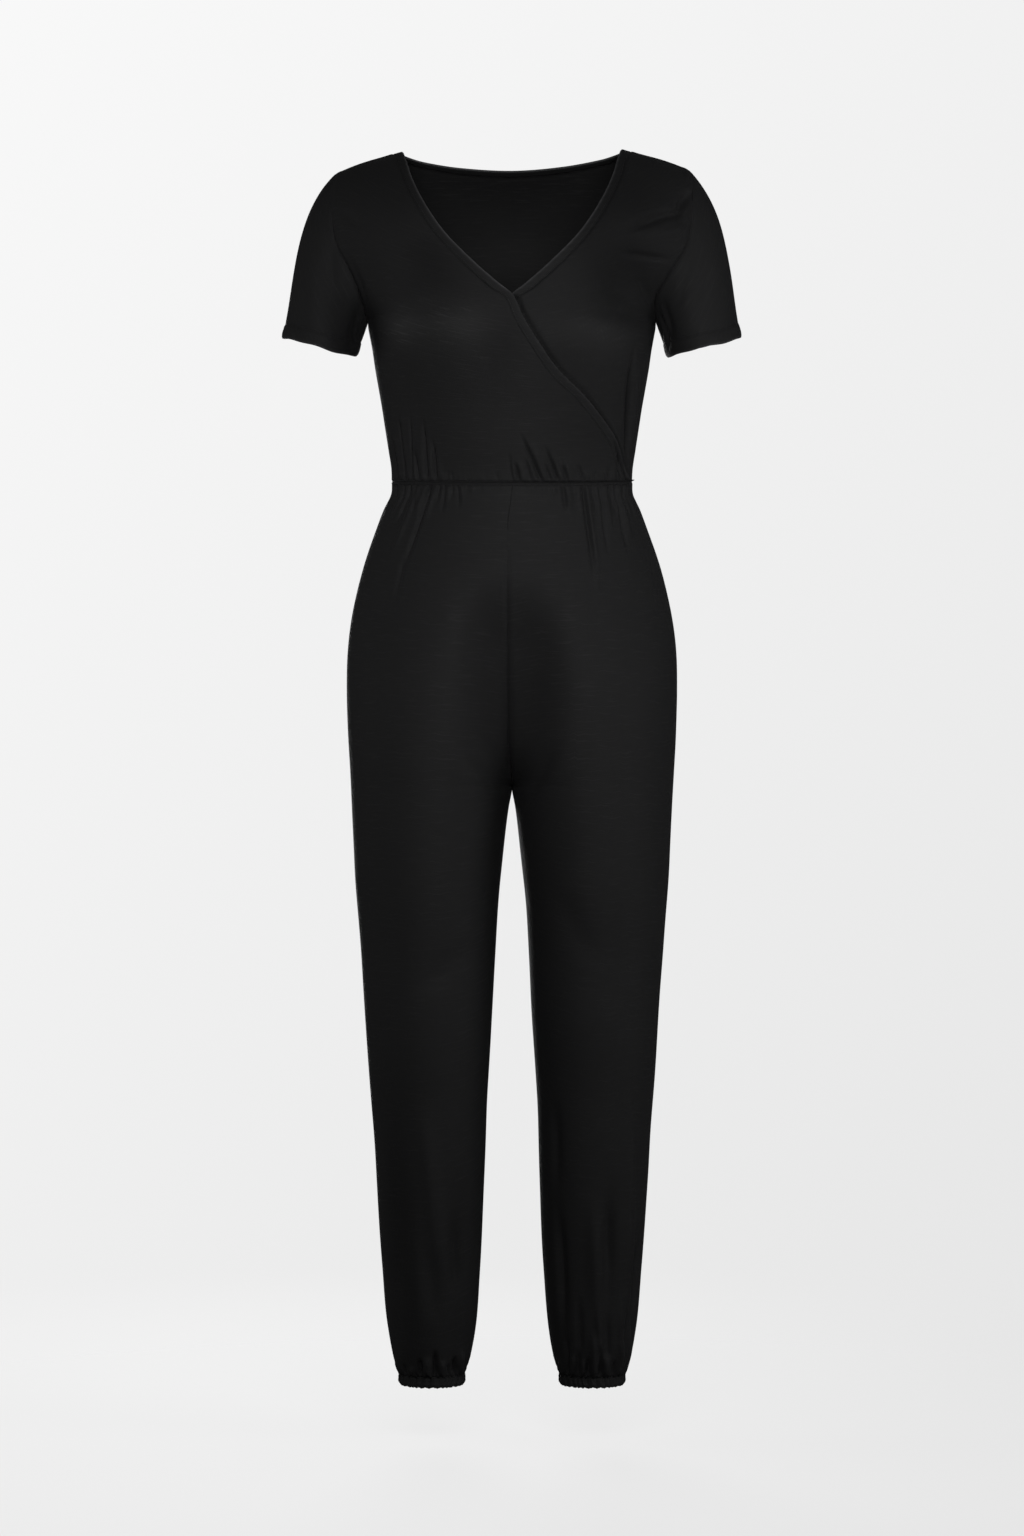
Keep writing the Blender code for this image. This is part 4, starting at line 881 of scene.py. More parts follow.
def band(node, panel, rise, inset, sewn, painted_light=0.0):
    """A turned band over a panel, where inset is the distance from its free edge."""
    half = BAND_THICK / 2
    round_off = half - np.sqrt(np.clip(half ** 2 - np.clip(half - inset, 0, half) ** 2, 0, None))
    stitched = STITCHED_DIP * bell((inset - BAND_STITCHES) / STITCHED_WIDTH)
    thickness = np.maximum(BAND_THICK - 2 * round_off - stitched, BAND_THINNEST)
    # painted highlight along the band's folded edge, weaker where it lies on the other front
    edge_highlight = bell(inset / FOLD_HIGHLIGHT) * (WRAP_HIGHLIGHT + (1 - WRAP_HIGHLIGHT) * on_neck(panel.points))
    return shell(node, panel, rise + (BAND_THICK - CLOTH) / 2 - round_off - stitched, BAND,
                 thickness=thickness, stride=1, edge=edge_highlight, painted_light=painted_light, sewn=sewn)


def front_band(side, word):
    heights = np.linspace(WAIST + SEWN_AT, SHOULDER, BAND_LENGTHS)[:, None]
    inset = np.broadcast_to(BAND_STEPS, (BAND_LENGTHS, len(BAND_STEPS)))
    panel = Panel(body, -side * edge_angle(heights, inset), heights, -1)
    wave = np.sin(panel.up / BAND_WAVE_LENGTH * 2 * math.pi + 2 * np.sin(panel.up / BAND_WAVE_DRIFT))
    rise = front_rise(panel, side) + slack(panel.points) + BAND_WAVE * wave * bell(inset / BAND_WAVE_REACH)
    # painted highlights and shade, and painted shade along the sharpest creases, as on its front
    return band("neck_band_" + word, panel, rise, inset, ("last", "bottom", "top"),
                mounds(PAINTED_LIGHT, panel.points) + folded(PAINTED_CREASE_SHADE, panel))


def back_band():
    inset = BAND_STEPS[:, None] * np.ones(BAND_LENGTHS)
    angles = neck_half_angle(inset) * neck_places(BAND_LENGTHS)
    panel = Panel(body, angles, back_top(angles, inset), 1)
    sewn = ("first", "last", "top")
    return band("neck_band_back", panel, slack(panel.points), inset, sewn)


def back():
    """The back, from side seam to side seam, up to the shoulder seams and the neck band."""
    rows, columns = BODICE_GRID
    top_end = float(armhole_angle(SHOULDER))
    corner = neck_half_angle(BAND_WIDTH + SEAM_GAP) / top_end
    shoulder = np.linspace(-1, -corner, SHOULDER_COLUMNS + 1)[:-1]
    neck = corner * neck_places(columns - 2 * SHOULDER_COLUMNS)
    edge_heights = spaced(WAIST + SEWN_AT, SHOULDER, rows, BODICE_ROWS)[:, None]
    climb = np.clip((edge_heights - UNDERARM) / (SHOULDER - UNDERARM), 0, 1)
    spots = (np.linspace(-1, 1, columns) * (1 - climb ** 2)
             + np.concatenate([shoulder, neck, -shoulder[::-1]]) * climb ** 2)
    dip = SHOULDER - back_top(spots * top_end, BAND_WIDTH + SEAM_GAP)
    panel = Panel(body, spots * armhole_angle(edge_heights), edge_heights - dip * climb ** 3, 1)
    to_side = np.minimum(panel.along, panel.along[:, -1:] - panel.along)
    rise = gathered(BODICE_BACK_GATHERS, WAIST, 1, panel) + folded(BACK_FOLDS, panel)
    rise += slack(panel.points, to_side) + crimp(panel.along, panel.up, WAIST_CRIMP)
    rise += rolled(Seam(to_side, ALLOWANCE_RISE, bodice_armhole(1, 1, panel.heights)),
                   Seam(panel.up[-1] - panel.up, ALLOWANCE_RISE))
    # painted light on the back's upper part, which lifts its inside seen through the neck
    painted_light = sum(ease((panel.points[..., 2] - height) / reach) for height, reach in BACK_PAINTED_LIGHT)
    return shell("bodice_back", panel, rise, JERSEY, painted_light=painted_light)


def sleeve_cloth(side):
    """A sleeve's rings from the armhole to the hem, the angle round it and the share of the way down."""
    rows, columns = SLEEVE_GRID
    half = columns // 2 + 1
    heights = np.concatenate([even_armhole(side, -1, half), even_armhole(side, 1, half)[-2:0:-1]])
    turn = 2 * math.pi * np.arange(columns) / columns
    face = all_round(columns)[0]
    angles = side * armhole_angle(heights)
    start, cap_normal = body(angles, heights, face), outward(body, angles, heights, face)
    start += cap_normal * mounds(SWELLS, start)[:, None]
    axis = np.array([side * math.sin(SLEEVE_LEAN), 0, -math.cos(SLEEVE_LEAN)])
    inward = np.array([-side * math.cos(SLEEVE_LEAN), 0, -math.sin(SLEEVE_LEAN)])
    centre = np.array([side * SLEEVE_HEM_OUT, SLEEVE_HEM_BACK, SLEEVE_HEM_HEIGHT])
    (slow, slow_dip), (quick, quick_dip) = HEM_WAVES
    dip = HEM_TILT * np.sin(turn) + slow_dip * np.sin(slow * turn + side) + quick_dip * np.sin(quick * turn)
    hem = (centre + SLEEVE_HALF_WIDTH * np.cos(turn)[:, None] * inward
           - SLEEVE_HALF_DEPTH * np.sin(turn)[:, None] * np.array([0, 1, 0]) + axis * dip[:, None])
    length = np.linalg.norm(hem - start, axis=1)[:, None]
    cap = ((1 - np.cos(turn)) / 2)[:, None]
    leaving = length * (SLEEVE_DROP * axis + SLEEVE_CAP * cap * np.array([side, 0, 0]))
    share = np.linspace(0, 1, rows)
    down = (share - END_DENSITY * np.sin(2 * math.pi * share) / (2 * math.pi))[:, None, None]
    rings = curve(down, start, leaving, hem, length * axis)
    around = np.roll(rings, -1, axis=1) - np.roll(rings, 1, axis=1)
    facing = unit(np.cross(np.gradient(rings, axis=0), around))
    facing *= np.sign((facing * (rings - rings.mean(axis=1, keepdims=True))).sum())
    blend = ease(1 - down / CAP_BLENDS) * cap
    return Cloth(rings, unit(facing * (1 - blend) + cap_normal * blend)), turn, down[..., 0]


def sleeve(side, word):
    cloth, turn, down = sleeve_cloth(side)
    to_hem = cloth.up[-1] - cloth.up
    radius = cloth.along[:, -1:] / (2 * math.pi)
    rise = slack(cloth.points, cloth.up) + rolled(Seam(cloth.up, 0, armhole_sunk(turn)))
    for crease in SLEEVE_CREASES:
        if crease.side != side:
            continue
        run = np.clip((down - crease.down) / (crease.down_end - crease.down), 0, 1)
        centre = np.radians(crease.turn + (crease.turn_end - crease.turn) * run)
        across = ((turn - centre + math.pi) % (2 * math.pi) - math.pi) * radius
        strength = ease(run / TAPER) * ease((1 - run) / TAPER)
        rise += crease.rise * strength * bell(across / crease.width)
    doubled = ease((HEM_TURN - to_hem) / HEM_STEP)
    dips = sum(bell((to_hem - row) / HEM_STITCH_WIDTH) for row in HEM_STITCHES)
    rise += HEM_DOUBLED * doubled + HEM_PUFF * bell((to_hem - HEM_PUFF_AT) / HEM_PUFF_WIDTH)
    rise -= HEM_STITCH_DIP * dips + HEM_ROUND * bell(to_hem / HEM_ROUND_WIDTH)
    # edge is a painted highlight along the hem's fold; the painted light table adds painted highlights and
    # shade
    made = shell("sleeve_" + word, cloth, rise, JERSEY, ring=True,
                 thickness=CLOTH + HEM_DOUBLED_THICK * doubled, edge=HEM_HIGHLIGHT * bell(to_hem / FOLD_HIGHLIGHT),
                 painted_light=mounds(PAINTED_LIGHT, cloth.points), sewn=("bottom",))
    STITCH_LINES["sleeve_" + word] = [trace(made, to_hem, row, closed=True) for row in HEM_STITCHES]


Quarter = namedtuple("Quarter", "word grid waist ankle folds valley calm")
QUARTERS = {-1: Quarter("front", TROUSER_GRID, TROUSER_FRONT_GATHERS, ANKLE_FRONT_GATHERS,
                        TROUSER_FRONT_FOLDS, VALLEY_FRONT, CALM),
            1: Quarter("back", TROUSER_BACK_GRID, TROUSER_BACK_GATHERS, ANKLE_BACK_GATHERS,
                       TROUSER_BACK_FOLDS, VALLEY_BACK, 0)}


def own(table, side):
    """A table's rows of one side, worked out as the left ones."""
    return [row._replace(out=abs(row.out), out_end=abs(row.out_end)) for row in table if row.out * side > 0]


def trouser(face, side, word):
    """A quarter of the trousers, from its side seam to the middle seam or inseam."""
    quarter = QUARTERS[face]
    rows, columns = quarter.grid
    heights = spaced(WAIST - SEWN_AT, CASING_TOP + SEAM_GAP, rows, TROUSER_ROWS)
    heights[np.argmin(np.abs(heights - CROTCH))] = CROTCH
    heights = heights[:, None]
    end = math.pi / 2 * (1 + leg_share(heights))
    panel = Panel(leg, end * np.linspace(0, 1, columns), heights, face, side)
    from_side, down = panel.along, panel.up
    to_middle, to_ankle = from_side[:, -1:] - from_side, down[-1] - down
    rise = gathered(own(quarter.waist, side), WAIST, -1, panel) + slack(panel.points)
    rise += gathered(own(quarter.ankle, side), CASING_TOP, 1, panel) + folded(own(quarter.folds, side), panel)
    calm = quarter.calm * bell(panel.points[..., 0] / CALM_HALF)
    rise += crimp(from_side, down, WAIST_CRIMP) * (1 - calm) + crimp(from_side, to_ankle, ANKLE_CRIMP)
    deeper = ease((CENTRE_SOFT[0] - heights) / (CENTRE_SOFT[0] - CENTRE_SOFT[1]))
    rise += rolled(Seam(from_side, ALLOWANCE_RISE), Seam(to_ankle, 0, ANKLE_SEAM),
                   Seam(to_middle, ALLOWANCE_RISE * deeper, CENTRE_FAINT + (1 - CENTRE_FAINT) * deeper))
    rise -= CENTRE_LINES * bell((to_middle - CENTRE_LINES_AT) / CENTRE_LINES_WIDTH) * (1 - deeper)
    sunk = ease((VALLEY_TOP - heights) / VALLEY_ONSET) * ease((heights - VALLEY_FOOT) / VALLEY_LENGTH)
    within = sunk * np.exp(-np.abs(to_middle / VALLEY_WIDTH[side]) ** 3)
    rise -= within * quarter.valley * np.abs(panel.normal[..., 1])
    drawn_in = ease((CENTRE_DIP_TOP - heights) / CENTRE_DIP_ONSET) * (heights > CROTCH)
    rise -= CENTRE_DIP * drawn_in * bell(to_middle / CENTRE_DIP_WIDTH)
    # its material gets painted highlights and shade, and painted shade along the valley by the middle seam
    return shell("trouser_%s_%s" % (quarter.word, word), panel, rise, JERSEY,
                 painted_light=mounds(PAINTED_LIGHT, panel.points) - VALLEY_PAINTED_SHADE * within,
                 middle=bell(to_middle / CENTRE_HELD) * (heights >= CROTCH))


def elastic():
    rows, columns = ELASTIC_GRID
    face, share_across = all_round(columns)
    heights = np.linspace(WAIST - SEWN_AT, WAIST + SEWN_AT, rows)[:, None]
    panel = Panel(body, math.pi / 2 * (1 - 2 * share_across), heights, face)
    share = panel.up / panel.up[-1]
    lift = wrap_rise(panel.angles, -1, True) * (face < 0)
    rise = SEAM_ROLL + lift * ease((share - WAIST_LINE) / (1 - WAIST_LINE))
    x, y = panel.points[..., 0], panel.points[..., 1]
    past_wrap = ease((x - SHALLOW_PAST) / SHALLOW_OVER[0]) * ease(-y / SHALLOW_OVER[1])
    shallow = np.maximum(past_wrap, bell((np.abs(x).max() - np.abs(x)) / SHALLOW_SIDE))
    rise -= WAIST_LINE_DEPTH * bell((share - WAIST_LINE) / WAIST_LINE_WIDTH) * (1 - SHALLOW * shallow)
    rise += WAIST_LIP * bell((share - WAIST_LINE + WAIST_LIP_BELOW) / WAIST_LINE_WIDTH)
    rise += crimp(panel.along, 0, ELASTIC_CRIMP)
    return shell("waist_elastic", panel, rise, BAND, ring=True, stride=1,
                 thickness=ELASTIC_THICK)


def casing(side, word):
    """The elastic casing at an ankle: a puffed, crimped tube."""
    rows, columns = CASING_GRID
    face, share_across = all_round(columns)
    heights = np.linspace(HEM, CASING_TOP + SEAM_GAP, rows)[:, None]
    panel = Panel(leg, math.pi * share_across, heights, face, side)
    share = panel.up / panel.up[-1]
    turn = panel.along / RIPPLE_PITCH * 2 * math.pi + side
    quick, often = RIPPLE_QUICK
    ripple = uneven(turn, *RIPPLE_DRIFTS) + quick * np.sin(turn * often)
    puff = np.sin(math.pi * np.clip(share, 0, 1)) ** PUFF_FULL
    rise = PUFF * puff + RIPPLE * ripple * (RIPPLE_LEAST + (1 - RIPPLE_LEAST) * puff)
    rise += CASING_RISE * ease(share * 2 - 1) - CASING_INSET
    rise -= CASING_ROUND * bell(share / CASING_ROUND_OVER)
    rise -= CASING_TOP_DIP * bell((share - 1) / CASING_TOP_OVER)
    rise -= CASING_STITCH_DIP * bell((share - CASING_STITCHES) / CASING_STITCH_WIDTH)
    waving = ripple * bell(share / RIPPLE_HEM_OVER)
    panel.points = panel.points + np.array([0, 0, RIPPLE_HEM]) * waving[..., None]
    # edge is a painted highlight along the casing's hem
    made = shell("ankle_casing_" + word, panel, rise, JERSEY, ring=True,
                 thickness=CASING_THICK, edge=CASING_HIGHLIGHT * bell(share / CASING_HIGHLIGHT_OVER),
                 sewn=("top",))
    STITCH_LINES["ankle_" + word] = [trace(made, share, CASING_STITCHES, closed=True)]


# ---- nodes ----

class Value:
    """A node's output that takes part in plain arithmetic."""

    def __init__(self, nodes, socket):
        self.nodes = nodes
        self.socket = socket

    def other(self, name):
        """Another output of the same node."""
        return Value(self.nodes, self.socket.node.outputs[name])

    def maths(self, operation, *values):
        return self.nodes.node("ShaderNodeMath", {"operation": operation}, dict(enumerate(values)))

    def __add__(self, other):
        return self.maths("ADD", self, other)

    def __sub__(self, other):
        return self.maths("SUBTRACT", self, other)

    def __rsub__(self, other):
        return self.maths("SUBTRACT", other, self)

    def __mul__(self, other):
        return self.maths("MULTIPLY", self, other)

    __radd__ = __add__
    __rmul__ = __mul__

    def sine(self):
        return self.maths("SINE", self)


class Nodes:
    """A node tree whose nodes are made by one method."""

    def __init__(self, tree):
        self.tree = tree
        tree.nodes.clear()

    def node(self, kind, settings=None, inputs=None, output=0):
        """Makes a node: first its settings, then the values or links of its sockets."""
        made = self.tree.nodes.new(kind)
        for name, value in (settings or {}).items():
            setattr(made, name, value)
        for name, value in (inputs or {}).items():
            if isinstance(value, Value):
                self.tree.links.new(value.socket, made.inputs[name])
            else:
                made.inputs[name].default_value = value
        return Value(self, made.outputs[output]) if made.outputs else None

    def between(self, value, low, high):
        """0 below low, 1 above high, with soft ends."""
        settings = {"interpolation_type": "SMOOTHSTEP"}
        return self.node("ShaderNodeMapRange", settings, {"Value": value, "From Min": low, "From Max": high})

    def scaled(self, vector, size):
        return self.node("ShaderNodeMapping", {}, {"Vector": vector, "Scale": size})

    def noise(self, vector, detail, roughness=0.5):
        inputs = {"Vector": vector, "Scale": 1.0, "Detail": detail, "Roughness": roughness}
        return self.node("ShaderNodeTexNoise", {}, inputs, "Fac")

    def mix(self, factor, first, second):
        """A colour between two. Of a Mix node's sockets 6 and 7 are its colours, and output 2 its result."""
        return self.node("ShaderNodeMix", {"data_type": "RGBA"}, {0: factor, 6: first, 7: second}, 2)


def new_material(name):
    material = bpy.data.materials.new(name)
    material.use_nodes = True
    return material, Nodes(material.node_tree)


# ---- stitching ----

STITCH_PITCH = 0.0030
STITCH_LENGTH = 0.0023
THREAD_RADIUS = 0.00022
THREAD_SUNK = 0.35          # how far its middle lies over the cloth, in radii
STITCH_LINES = {name: [] for name in ("neck", "sleeve_left", "sleeve_right", "ankle_left", "ankle_right")}


def trace(made, distance, at, closed=False, across_rows=True):
    """Line over a shell's outer face where a distance grid has the value at."""
    grid = made.points + made.normal * (THREAD_RADIUS * THREAD_SUNK)
    if not across_rows:
        grid, distance = grid.transpose(1, 0, 2), distance.T
    line = []
    for j in range(grid.shape[1]):
        order = np.argsort(distance[:, j])
        line.append([np.interp(at, distance[order, j], grid[order, j, k]) for k in range(3)])
    return np.array(line + line[:1] if closed else line)


def stitch_tree():
    """Geometry Nodes: short thread beads at an even pitch along every line of a mesh."""
    tree = bpy.data.node_groups.new("stitch_row", "GeometryNodeTree")
    for name, way, kind in (("Geometry", "INPUT", "Geometry"), ("Pitch", "INPUT", "Float"),
                            ("Length", "INPUT", "Float"), ("Thread radius", "INPUT", "Float"),
                            ("Thread", "INPUT", "Material"), ("Geometry", "OUTPUT", "Geometry")):
        tree.interface.new_socket(name, in_out=way, socket_type="NodeSocket" + kind)
    nodes = Nodes(tree)
    lines = nodes.node("NodeGroupInput")
    radius, half_length = lines.other("Thread radius"), lines.other("Length") * 0.5
    curves = nodes.node("GeometryNodeMeshToCurve", {}, {0: lines})
    spots = nodes.node("GeometryNodeCurveToPoints", {"mode": "LENGTH"}, {
        "Curve": curves, "Length": lines.other("Pitch")})
    bead = nodes.node("GeometryNodeMeshUVSphere", {}, {"Segments": 6, "Rings": 5, "Radius": 1.0})
    size = nodes.node("ShaderNodeCombineXYZ", {}, {0: radius, 1: radius, 2: half_length})
    beads = nodes.node("GeometryNodeInstanceOnPoints", {}, {
        "Points": spots, "Instance": bead, "Rotation": spots.other("Rotation"), "Scale": size})
    real = nodes.node("GeometryNodeRealizeInstances", {}, {0: beads})
    soft = nodes.node("GeometryNodeSetShadeSmooth", {}, {0: real})
    sewn = nodes.node("GeometryNodeSetMaterial", {}, {"Geometry": soft, "Material": lines.other("Thread")})
    nodes.node("NodeGroupOutput", {}, {0: sewn})
    return tree


def stitches(name, lines, tree):
    """Rows of stitches along lines, as one plain mesh."""
    points, edges = [], []
    for line in lines:
        edges += [(len(points) + i, len(points) + i + 1) for i in range(len(line) - 1)]
        points += line.tolist()
    path_mesh = bpy.data.meshes.new("path_" + name)
    path_mesh.from_pydata(points, edges, [])
    path = placed("path_" + name, path_mesh)
    modifier = path.modifiers.new("stitches", "NODES")
    modifier.node_group = tree
    values = {"Pitch": STITCH_PITCH, "Length": STITCH_LENGTH,
              "Thread radius": THREAD_RADIUS, "Thread": THREAD}
    for item in tree.interface.items_tree:
        if item.in_out == "INPUT" and item.name in values:
            modifier[item.identifier] = values[item.name]
    bpy.context.view_layer.update()
    mesh = bpy.data.meshes.new_from_object(path.evaluated_get(bpy.context.evaluated_depsgraph_get()))
    bpy.data.objects.remove(path, do_unlink=True)
    mesh.name = "stitches_" + name
    piece = placed("stitches_" + name, mesh)
    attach(piece, BODY_NAME)


# ---- materials ----

WALE = 0.00095              # between the jersey's columns of loops
COURSE = 0.00075            # and between its rows
# How often each pattern changes in a metre across, up, and through the cloth
LONG_SLUB = (34, 420, 1)
SHORT_SLUB = (95, 900, 1)
CLOUDS = (14, 11, 1)
FUZZ = (900, 900, 1)
TWIST = (2600, 2600, 900)   # of the thread
DARK_JERSEY = (0.0078, 0.0078, 0.0082, 1.0)
LIGHT_JERSEY = (0.0240, 0.0240, 0.0245, 1.0)
# colour of the painted highlight along folded edges
EDGE_HIGHLIGHT = (0.058, 0.058, 0.060, 1.0)
DARK_THREAD = (0.006, 0.006, 0.006, 1.0)
LIGHT_THREAD = (0.013, 0.013, 0.014, 1.0)


def jersey(name, painted_lift=0.0):
    """Black slub jersey: knit loops, thick and thin yarn in the courses, a painted highlight along folded
    edges, and painted highlights and shade over the cloth.
    """
    material, cloth = new_material(name)
    place = cloth.node("ShaderNodeUVMap", {"uv_map": "cloth"})
    edge, painted_light = (cloth.node("ShaderNodeAttribute", {"attribute_name": look}, output="Fac")
                   for look in ("edge", "painted_light"))
    long_slub = cloth.between(cloth.noise(cloth.scaled(place, LONG_SLUB), 2.0), 0.52, 0.74)
    short_slub = cloth.between(cloth.noise(cloth.scaled(place, SHORT_SLUB), 1.0), 0.50, 0.80)
    cloudy = cloth.noise(cloth.scaled(place, CLOUDS), 3.0, 0.6)
    fuzz = cloth.noise(cloth.scaled(place, FUZZ), 2.0, 0.7)
    # painted highlight: the slubs brighten where the cloth is painted lighter
    painted_slub_highlight = cloth.between(painted_light, 0.1, 1.6) * (long_slub * 0.75 + short_slub * 0.45 - 0.28)
    # the yarn's random tone, plus painted highlights and shade, and a copy's painted lift
    tone = 0.16 + painted_lift + cloudy * 0.22 + long_slub * 0.16 + short_slub * 0.10 + fuzz * 0.14 + painted_light * 0.42
    # the colour turns to a painted highlight along folded edges
    colour = cloth.mix(edge, cloth.mix((tone + painted_slub_highlight) * 0.6, DARK_JERSEY, LIGHT_JERSEY), EDGE_HIGHLIGHT)
    across = cloth.node("ShaderNodeSeparateXYZ", {}, {0: place})
    up = across.other("Y")
    loops = (across * (2 * math.pi / WALE)).sine() + (up * (2 * math.pi / COURSE)).sine() * 0.6
    relief = loops * 0.10 + long_slub * 0.45 + short_slub * 0.25 + fuzz * 0.30 + cloudy * 0.8
    bumped = cloth.node("ShaderNodeBump", {}, {"Strength": 0.55, "Distance": 0.00028, "Height": relief})
    surface = cloth.node("ShaderNodeBsdfPrincipled", {}, {
        "Base Color": colour, "Roughness": 0.66 + fuzz * 0.14 - long_slub * 0.08 + painted_light * -0.09,
        "Normal": bumped, "Metallic": 0.0, "Specular IOR Level": 0.20, "Sheen Weight": 0.02,
        "Sheen Roughness": 0.45, "Sheen Tint": (0.55, 0.55, 0.58, 1.0)})
    cloth.node("ShaderNodeOutputMaterial", {}, {"Surface": surface})
    return material


def thread():
    """Polyester sewing thread, a little glossier than the jersey."""
    material, yarn = new_material("black_thread")
    place = yarn.node("ShaderNodeTexCoord", {}, output="Object")
    twist = yarn.noise(yarn.scaled(place, TWIST), 2.0)
    surface = yarn.node("ShaderNodeBsdfPrincipled", {}, {
        "Base Color": yarn.mix(twist, DARK_THREAD, LIGHT_THREAD), "Roughness": 0.50 + twist * 0.2,
        "Specular IOR Level": 0.25})
    yarn.node("ShaderNodeOutputMaterial", {}, {"Surface": surface})
    return material


# ---- setting ----

CAMERA_BACK = 5.0           # from the middle of the garment
CAMERA_HEIGHT = -0.6752
VIEW_HALF_HEIGHT = 0.8579   # of the view at the garment
SENSOR = 36.0
FLOOR_BELOW = 0.064         # under the ankle hems
FLOOR_RADIUS = 1.9
FLOOR_SPOKES = 48
FLOOR_RINGS = (0.33, 0.66, 1.0)
FLOOR_FADES = (0.25, 0.96 * FLOOR_RADIUS)  # from here to there it fades out
FLOOR_GREY = (0.2, 0.2, 0.2, 1.0)
FLOOR_TONE = 0.73           # its own brightness under the garment
FLOOR_ACROSS = -0.045       # and its change for each metre to the right
BACKDROP = 0.86             # brightness behind the garment
BACKDROP_RANGE = (0.74, 0.97)
BACKDROP_ACROSS = -0.27     # and how it changes to the right and upwards
BACKDROP_UP = 0.30
AMBIENT = 0.06              # share of it that lights the cloth

# Soft lights: where each stands and what it faces, its size, its power in watts and its spread in degrees
Softbox = namedtuple("Softbox", "name place aim width height power spread")
SOFTBOXES = [
    Softbox("key", (0.06, -1.70, -0.15), (0.02, 0.0, -0.50), 0.9, 0.7, 5.5, 110),
    Softbox("high", (-0.60, -2.10, 0.06), (0.0, 0.0, -0.18), 0.6, 0.5, 1.4, 180),
    Softbox("left", (-2.6, 0.2, -0.25), (0.0, 0.0, -0.50), 1.0, 1.3, 6.0, 180),
    Softbox("right", (2.3, -0.9, -0.45), (0.0, 0.0, -0.60), 1.0, 1.6, 13.5, 180),
    Softbox("rear", (-0.3, 2.4, -0.50), (0.0, 0.0, -0.60), 1.2, 1.6, 28.0, 180),
]


def camera():
    data = bpy.data.cameras.new("camera")
    data.sensor_width = SENSOR
    data.lens = SENSOR / 2 * CAMERA_BACK / VIEW_HALF_HEIGHT
    made = placed("camera", data)
    made.location = (0, -CAMERA_BACK, CAMERA_HEIGHT)
    made.rotation_euler = (math.pi / 2, 0, 0)
    bpy.context.scene.camera = made


def softbox(spec):
    data = bpy.data.lights.new(spec.name, "AREA")
    data.shape = "RECTANGLE"
    data.size, data.size_y = spec.width, spec.height
    data.energy = spec.power
    data.spread = math.radians(spec.spread)
    made = placed(spec.name, data)
    made.location = spec.place
    aim = np.array(spec.aim) - np.array(spec.place)
    made.rotation_euler = (math.acos(-aim[2] / np.linalg.norm(aim)), 0, math.atan2(-aim[0], aim[1]))
    made.visible_camera = False


def backdrop():
    """Pale surroundings with a slow gradient; they light the cloth less than they show."""
    world = bpy.data.worlds.new("studio")
    world.use_nodes = True
    bpy.context.scene.world = world
    sky = Nodes(world.node_tree)
    place = sky.node("ShaderNodeTexCoord", output="Generated")
    level = sky.node("ShaderNodeVectorMath", {"operation": "DOT_PRODUCT"}, {
        0: place, 1: (BACKDROP_ACROSS, 0, BACKDROP_UP)}, "Value")
    low, high = BACKDROP_RANGE
    pale = sky.node("ShaderNodeClamp", {}, {"Value": level + BACKDROP, "Min": low, "Max": high})
    seen = sky.node("ShaderNodeLightPath", output="Is Camera Ray")
    strength = sky.node("ShaderNodeMapRange", {}, {"Value": seen, "To Min": AMBIENT})
    shown = sky.node("ShaderNodeBackground", {}, {"Color": pale, "Strength": strength})
    sky.node("ShaderNodeOutputWorld", {}, {"Surface": shown})


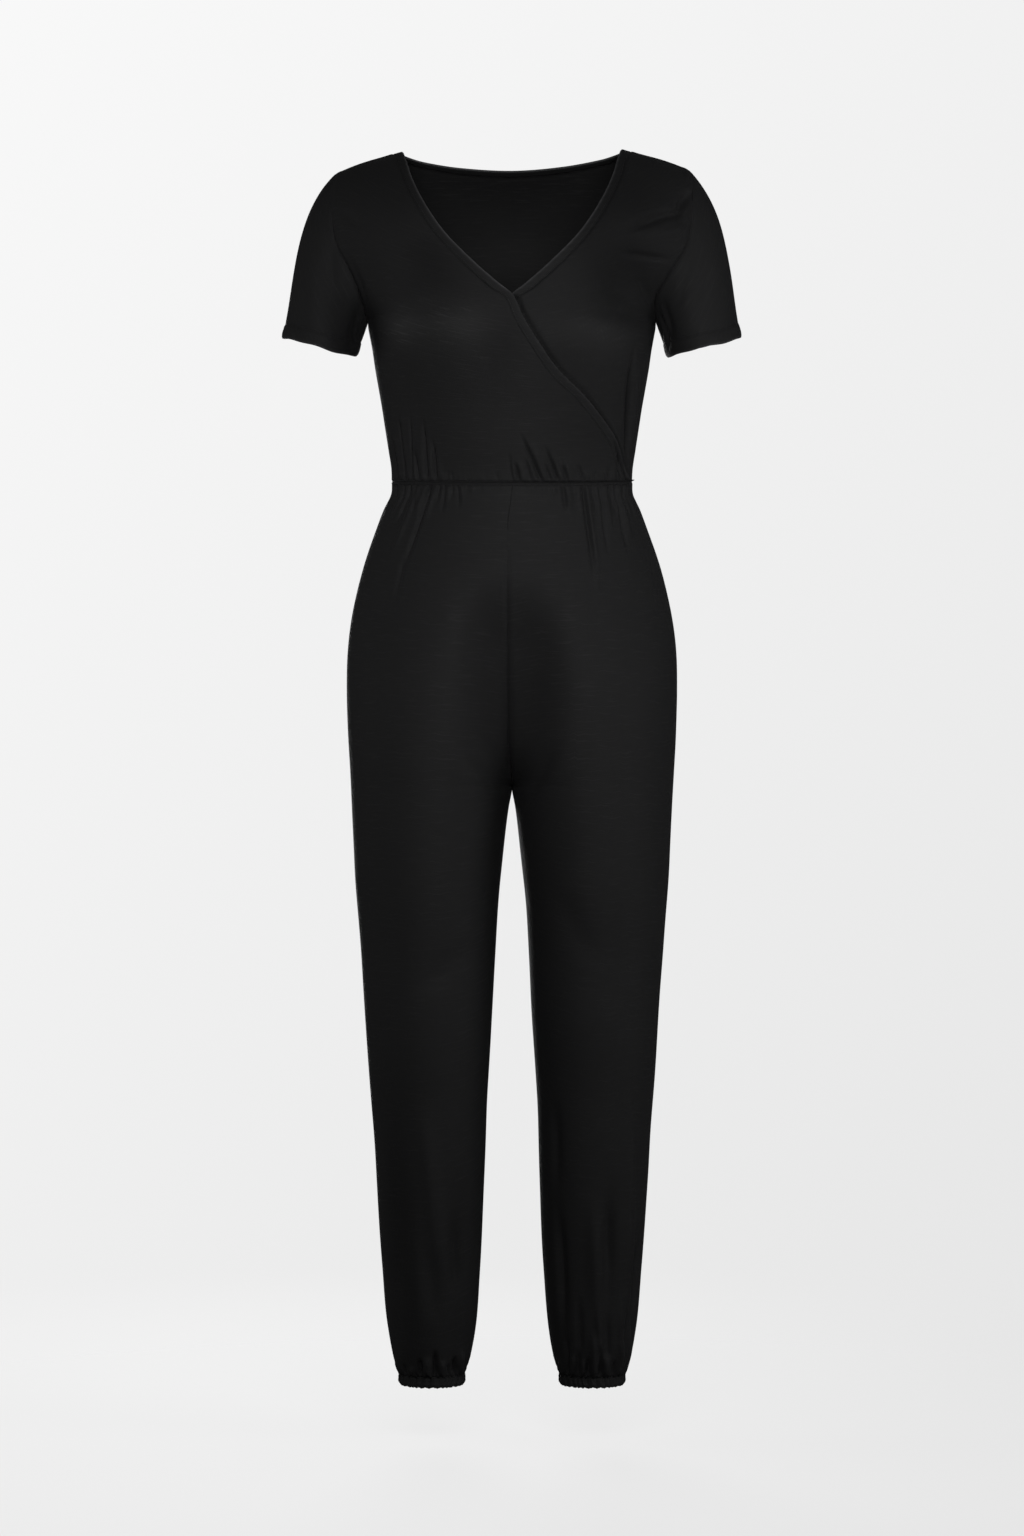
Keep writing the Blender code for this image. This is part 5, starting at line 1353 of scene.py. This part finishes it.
def floor():
    """A pale lit floor that fades out into the surroundings."""
    height = CAD_BOUNDS[0].z - FLOOR_BELOW
    rings = [(FLOOR_RADIUS * r * math.cos(a), FLOOR_RADIUS * r * math.sin(a), height)
             for r in FLOOR_RINGS for a in np.linspace(0, 2 * math.pi, FLOOR_SPOKES, endpoint=False)]
    spokes = [(i, (i + 1) % FLOOR_SPOKES) for i in range(FLOOR_SPOKES)]
    faces = [(0, 1 + i, 1 + j) for i, j in spokes]
    for first, second in ((1, 1 + FLOOR_SPOKES), (1 + FLOOR_SPOKES, 1 + 2 * FLOOR_SPOKES)):
        faces += [(first + i, second + i, second + j, first + j) for i, j in spokes]
    mesh = bpy.data.meshes.new("floor")
    mesh.from_pydata([(0.0, 0.0, height)] + rings, [], faces)
    piece = placed("floor", mesh)
    material, pale = new_material("pale_floor")
    place = pale.node("ShaderNodeTexCoord", {}, output="Object")
    level = pale.scaled(place, (1, 1, 0))
    reach = pale.node("ShaderNodeVectorMath", {"operation": "LENGTH"}, {0: level}, "Value")
    tone = pale.node("ShaderNodeSeparateXYZ", {}, {0: place}) * FLOOR_ACROSS + FLOOR_TONE
    lit = pale.node("ShaderNodeBsdfPrincipled", {}, {
        "Base Color": FLOOR_GREY, "Roughness": 0.9, "Specular IOR Level": 0.1,
        "Emission Color": tone, "Emission Strength": 1.0})
    fade = pale.between(reach, *FLOOR_FADES)
    faded = pale.node("ShaderNodeMixShader", {}, {0: fade, 1: lit, 2: pale.node("ShaderNodeBsdfTransparent")})
    pale.node("ShaderNodeOutputMaterial", {}, {"Surface": faded})
    mesh.materials.append(material)
    piece.visible_diffuse = piece.visible_glossy = False


# ---- the garment ----

JERSEY = jersey("black_jersey")
# the band and elastic use a copy of the jersey painted lighter throughout
BAND = jersey("black_jersey_band", painted_lift=0.06)
THREAD = thread()

bands = []
for side, word in ((-1, "right"), (1, "left")):
    front(side, word)
    bands.append(front_band(side, word))
    sleeve(side, word)
    trouser(-1, side, word)
    trouser(1, side, word)
    casing(side, word)
back()
neck_back = back_band()
elastic()
for made in bands:
    inset = np.broadcast_to(BAND_STEPS, made.points.shape[:2])
    STITCH_LINES["neck"].append(trace(made, inset, BAND_STITCHES, across_rows=False))
inset = np.broadcast_to(BAND_STEPS[:, None], neck_back.points.shape[:2])
STITCH_LINES["neck"].append(trace(neck_back, inset, BAND_STITCHES))

tree = stitch_tree()
for name, lines in STITCH_LINES.items():
    stitches(name, lines, tree)

camera()
for spec in SOFTBOXES:
    softbox(spec)
backdrop()
floor()
bpy.context.scene.view_settings.view_transform = "Standard"
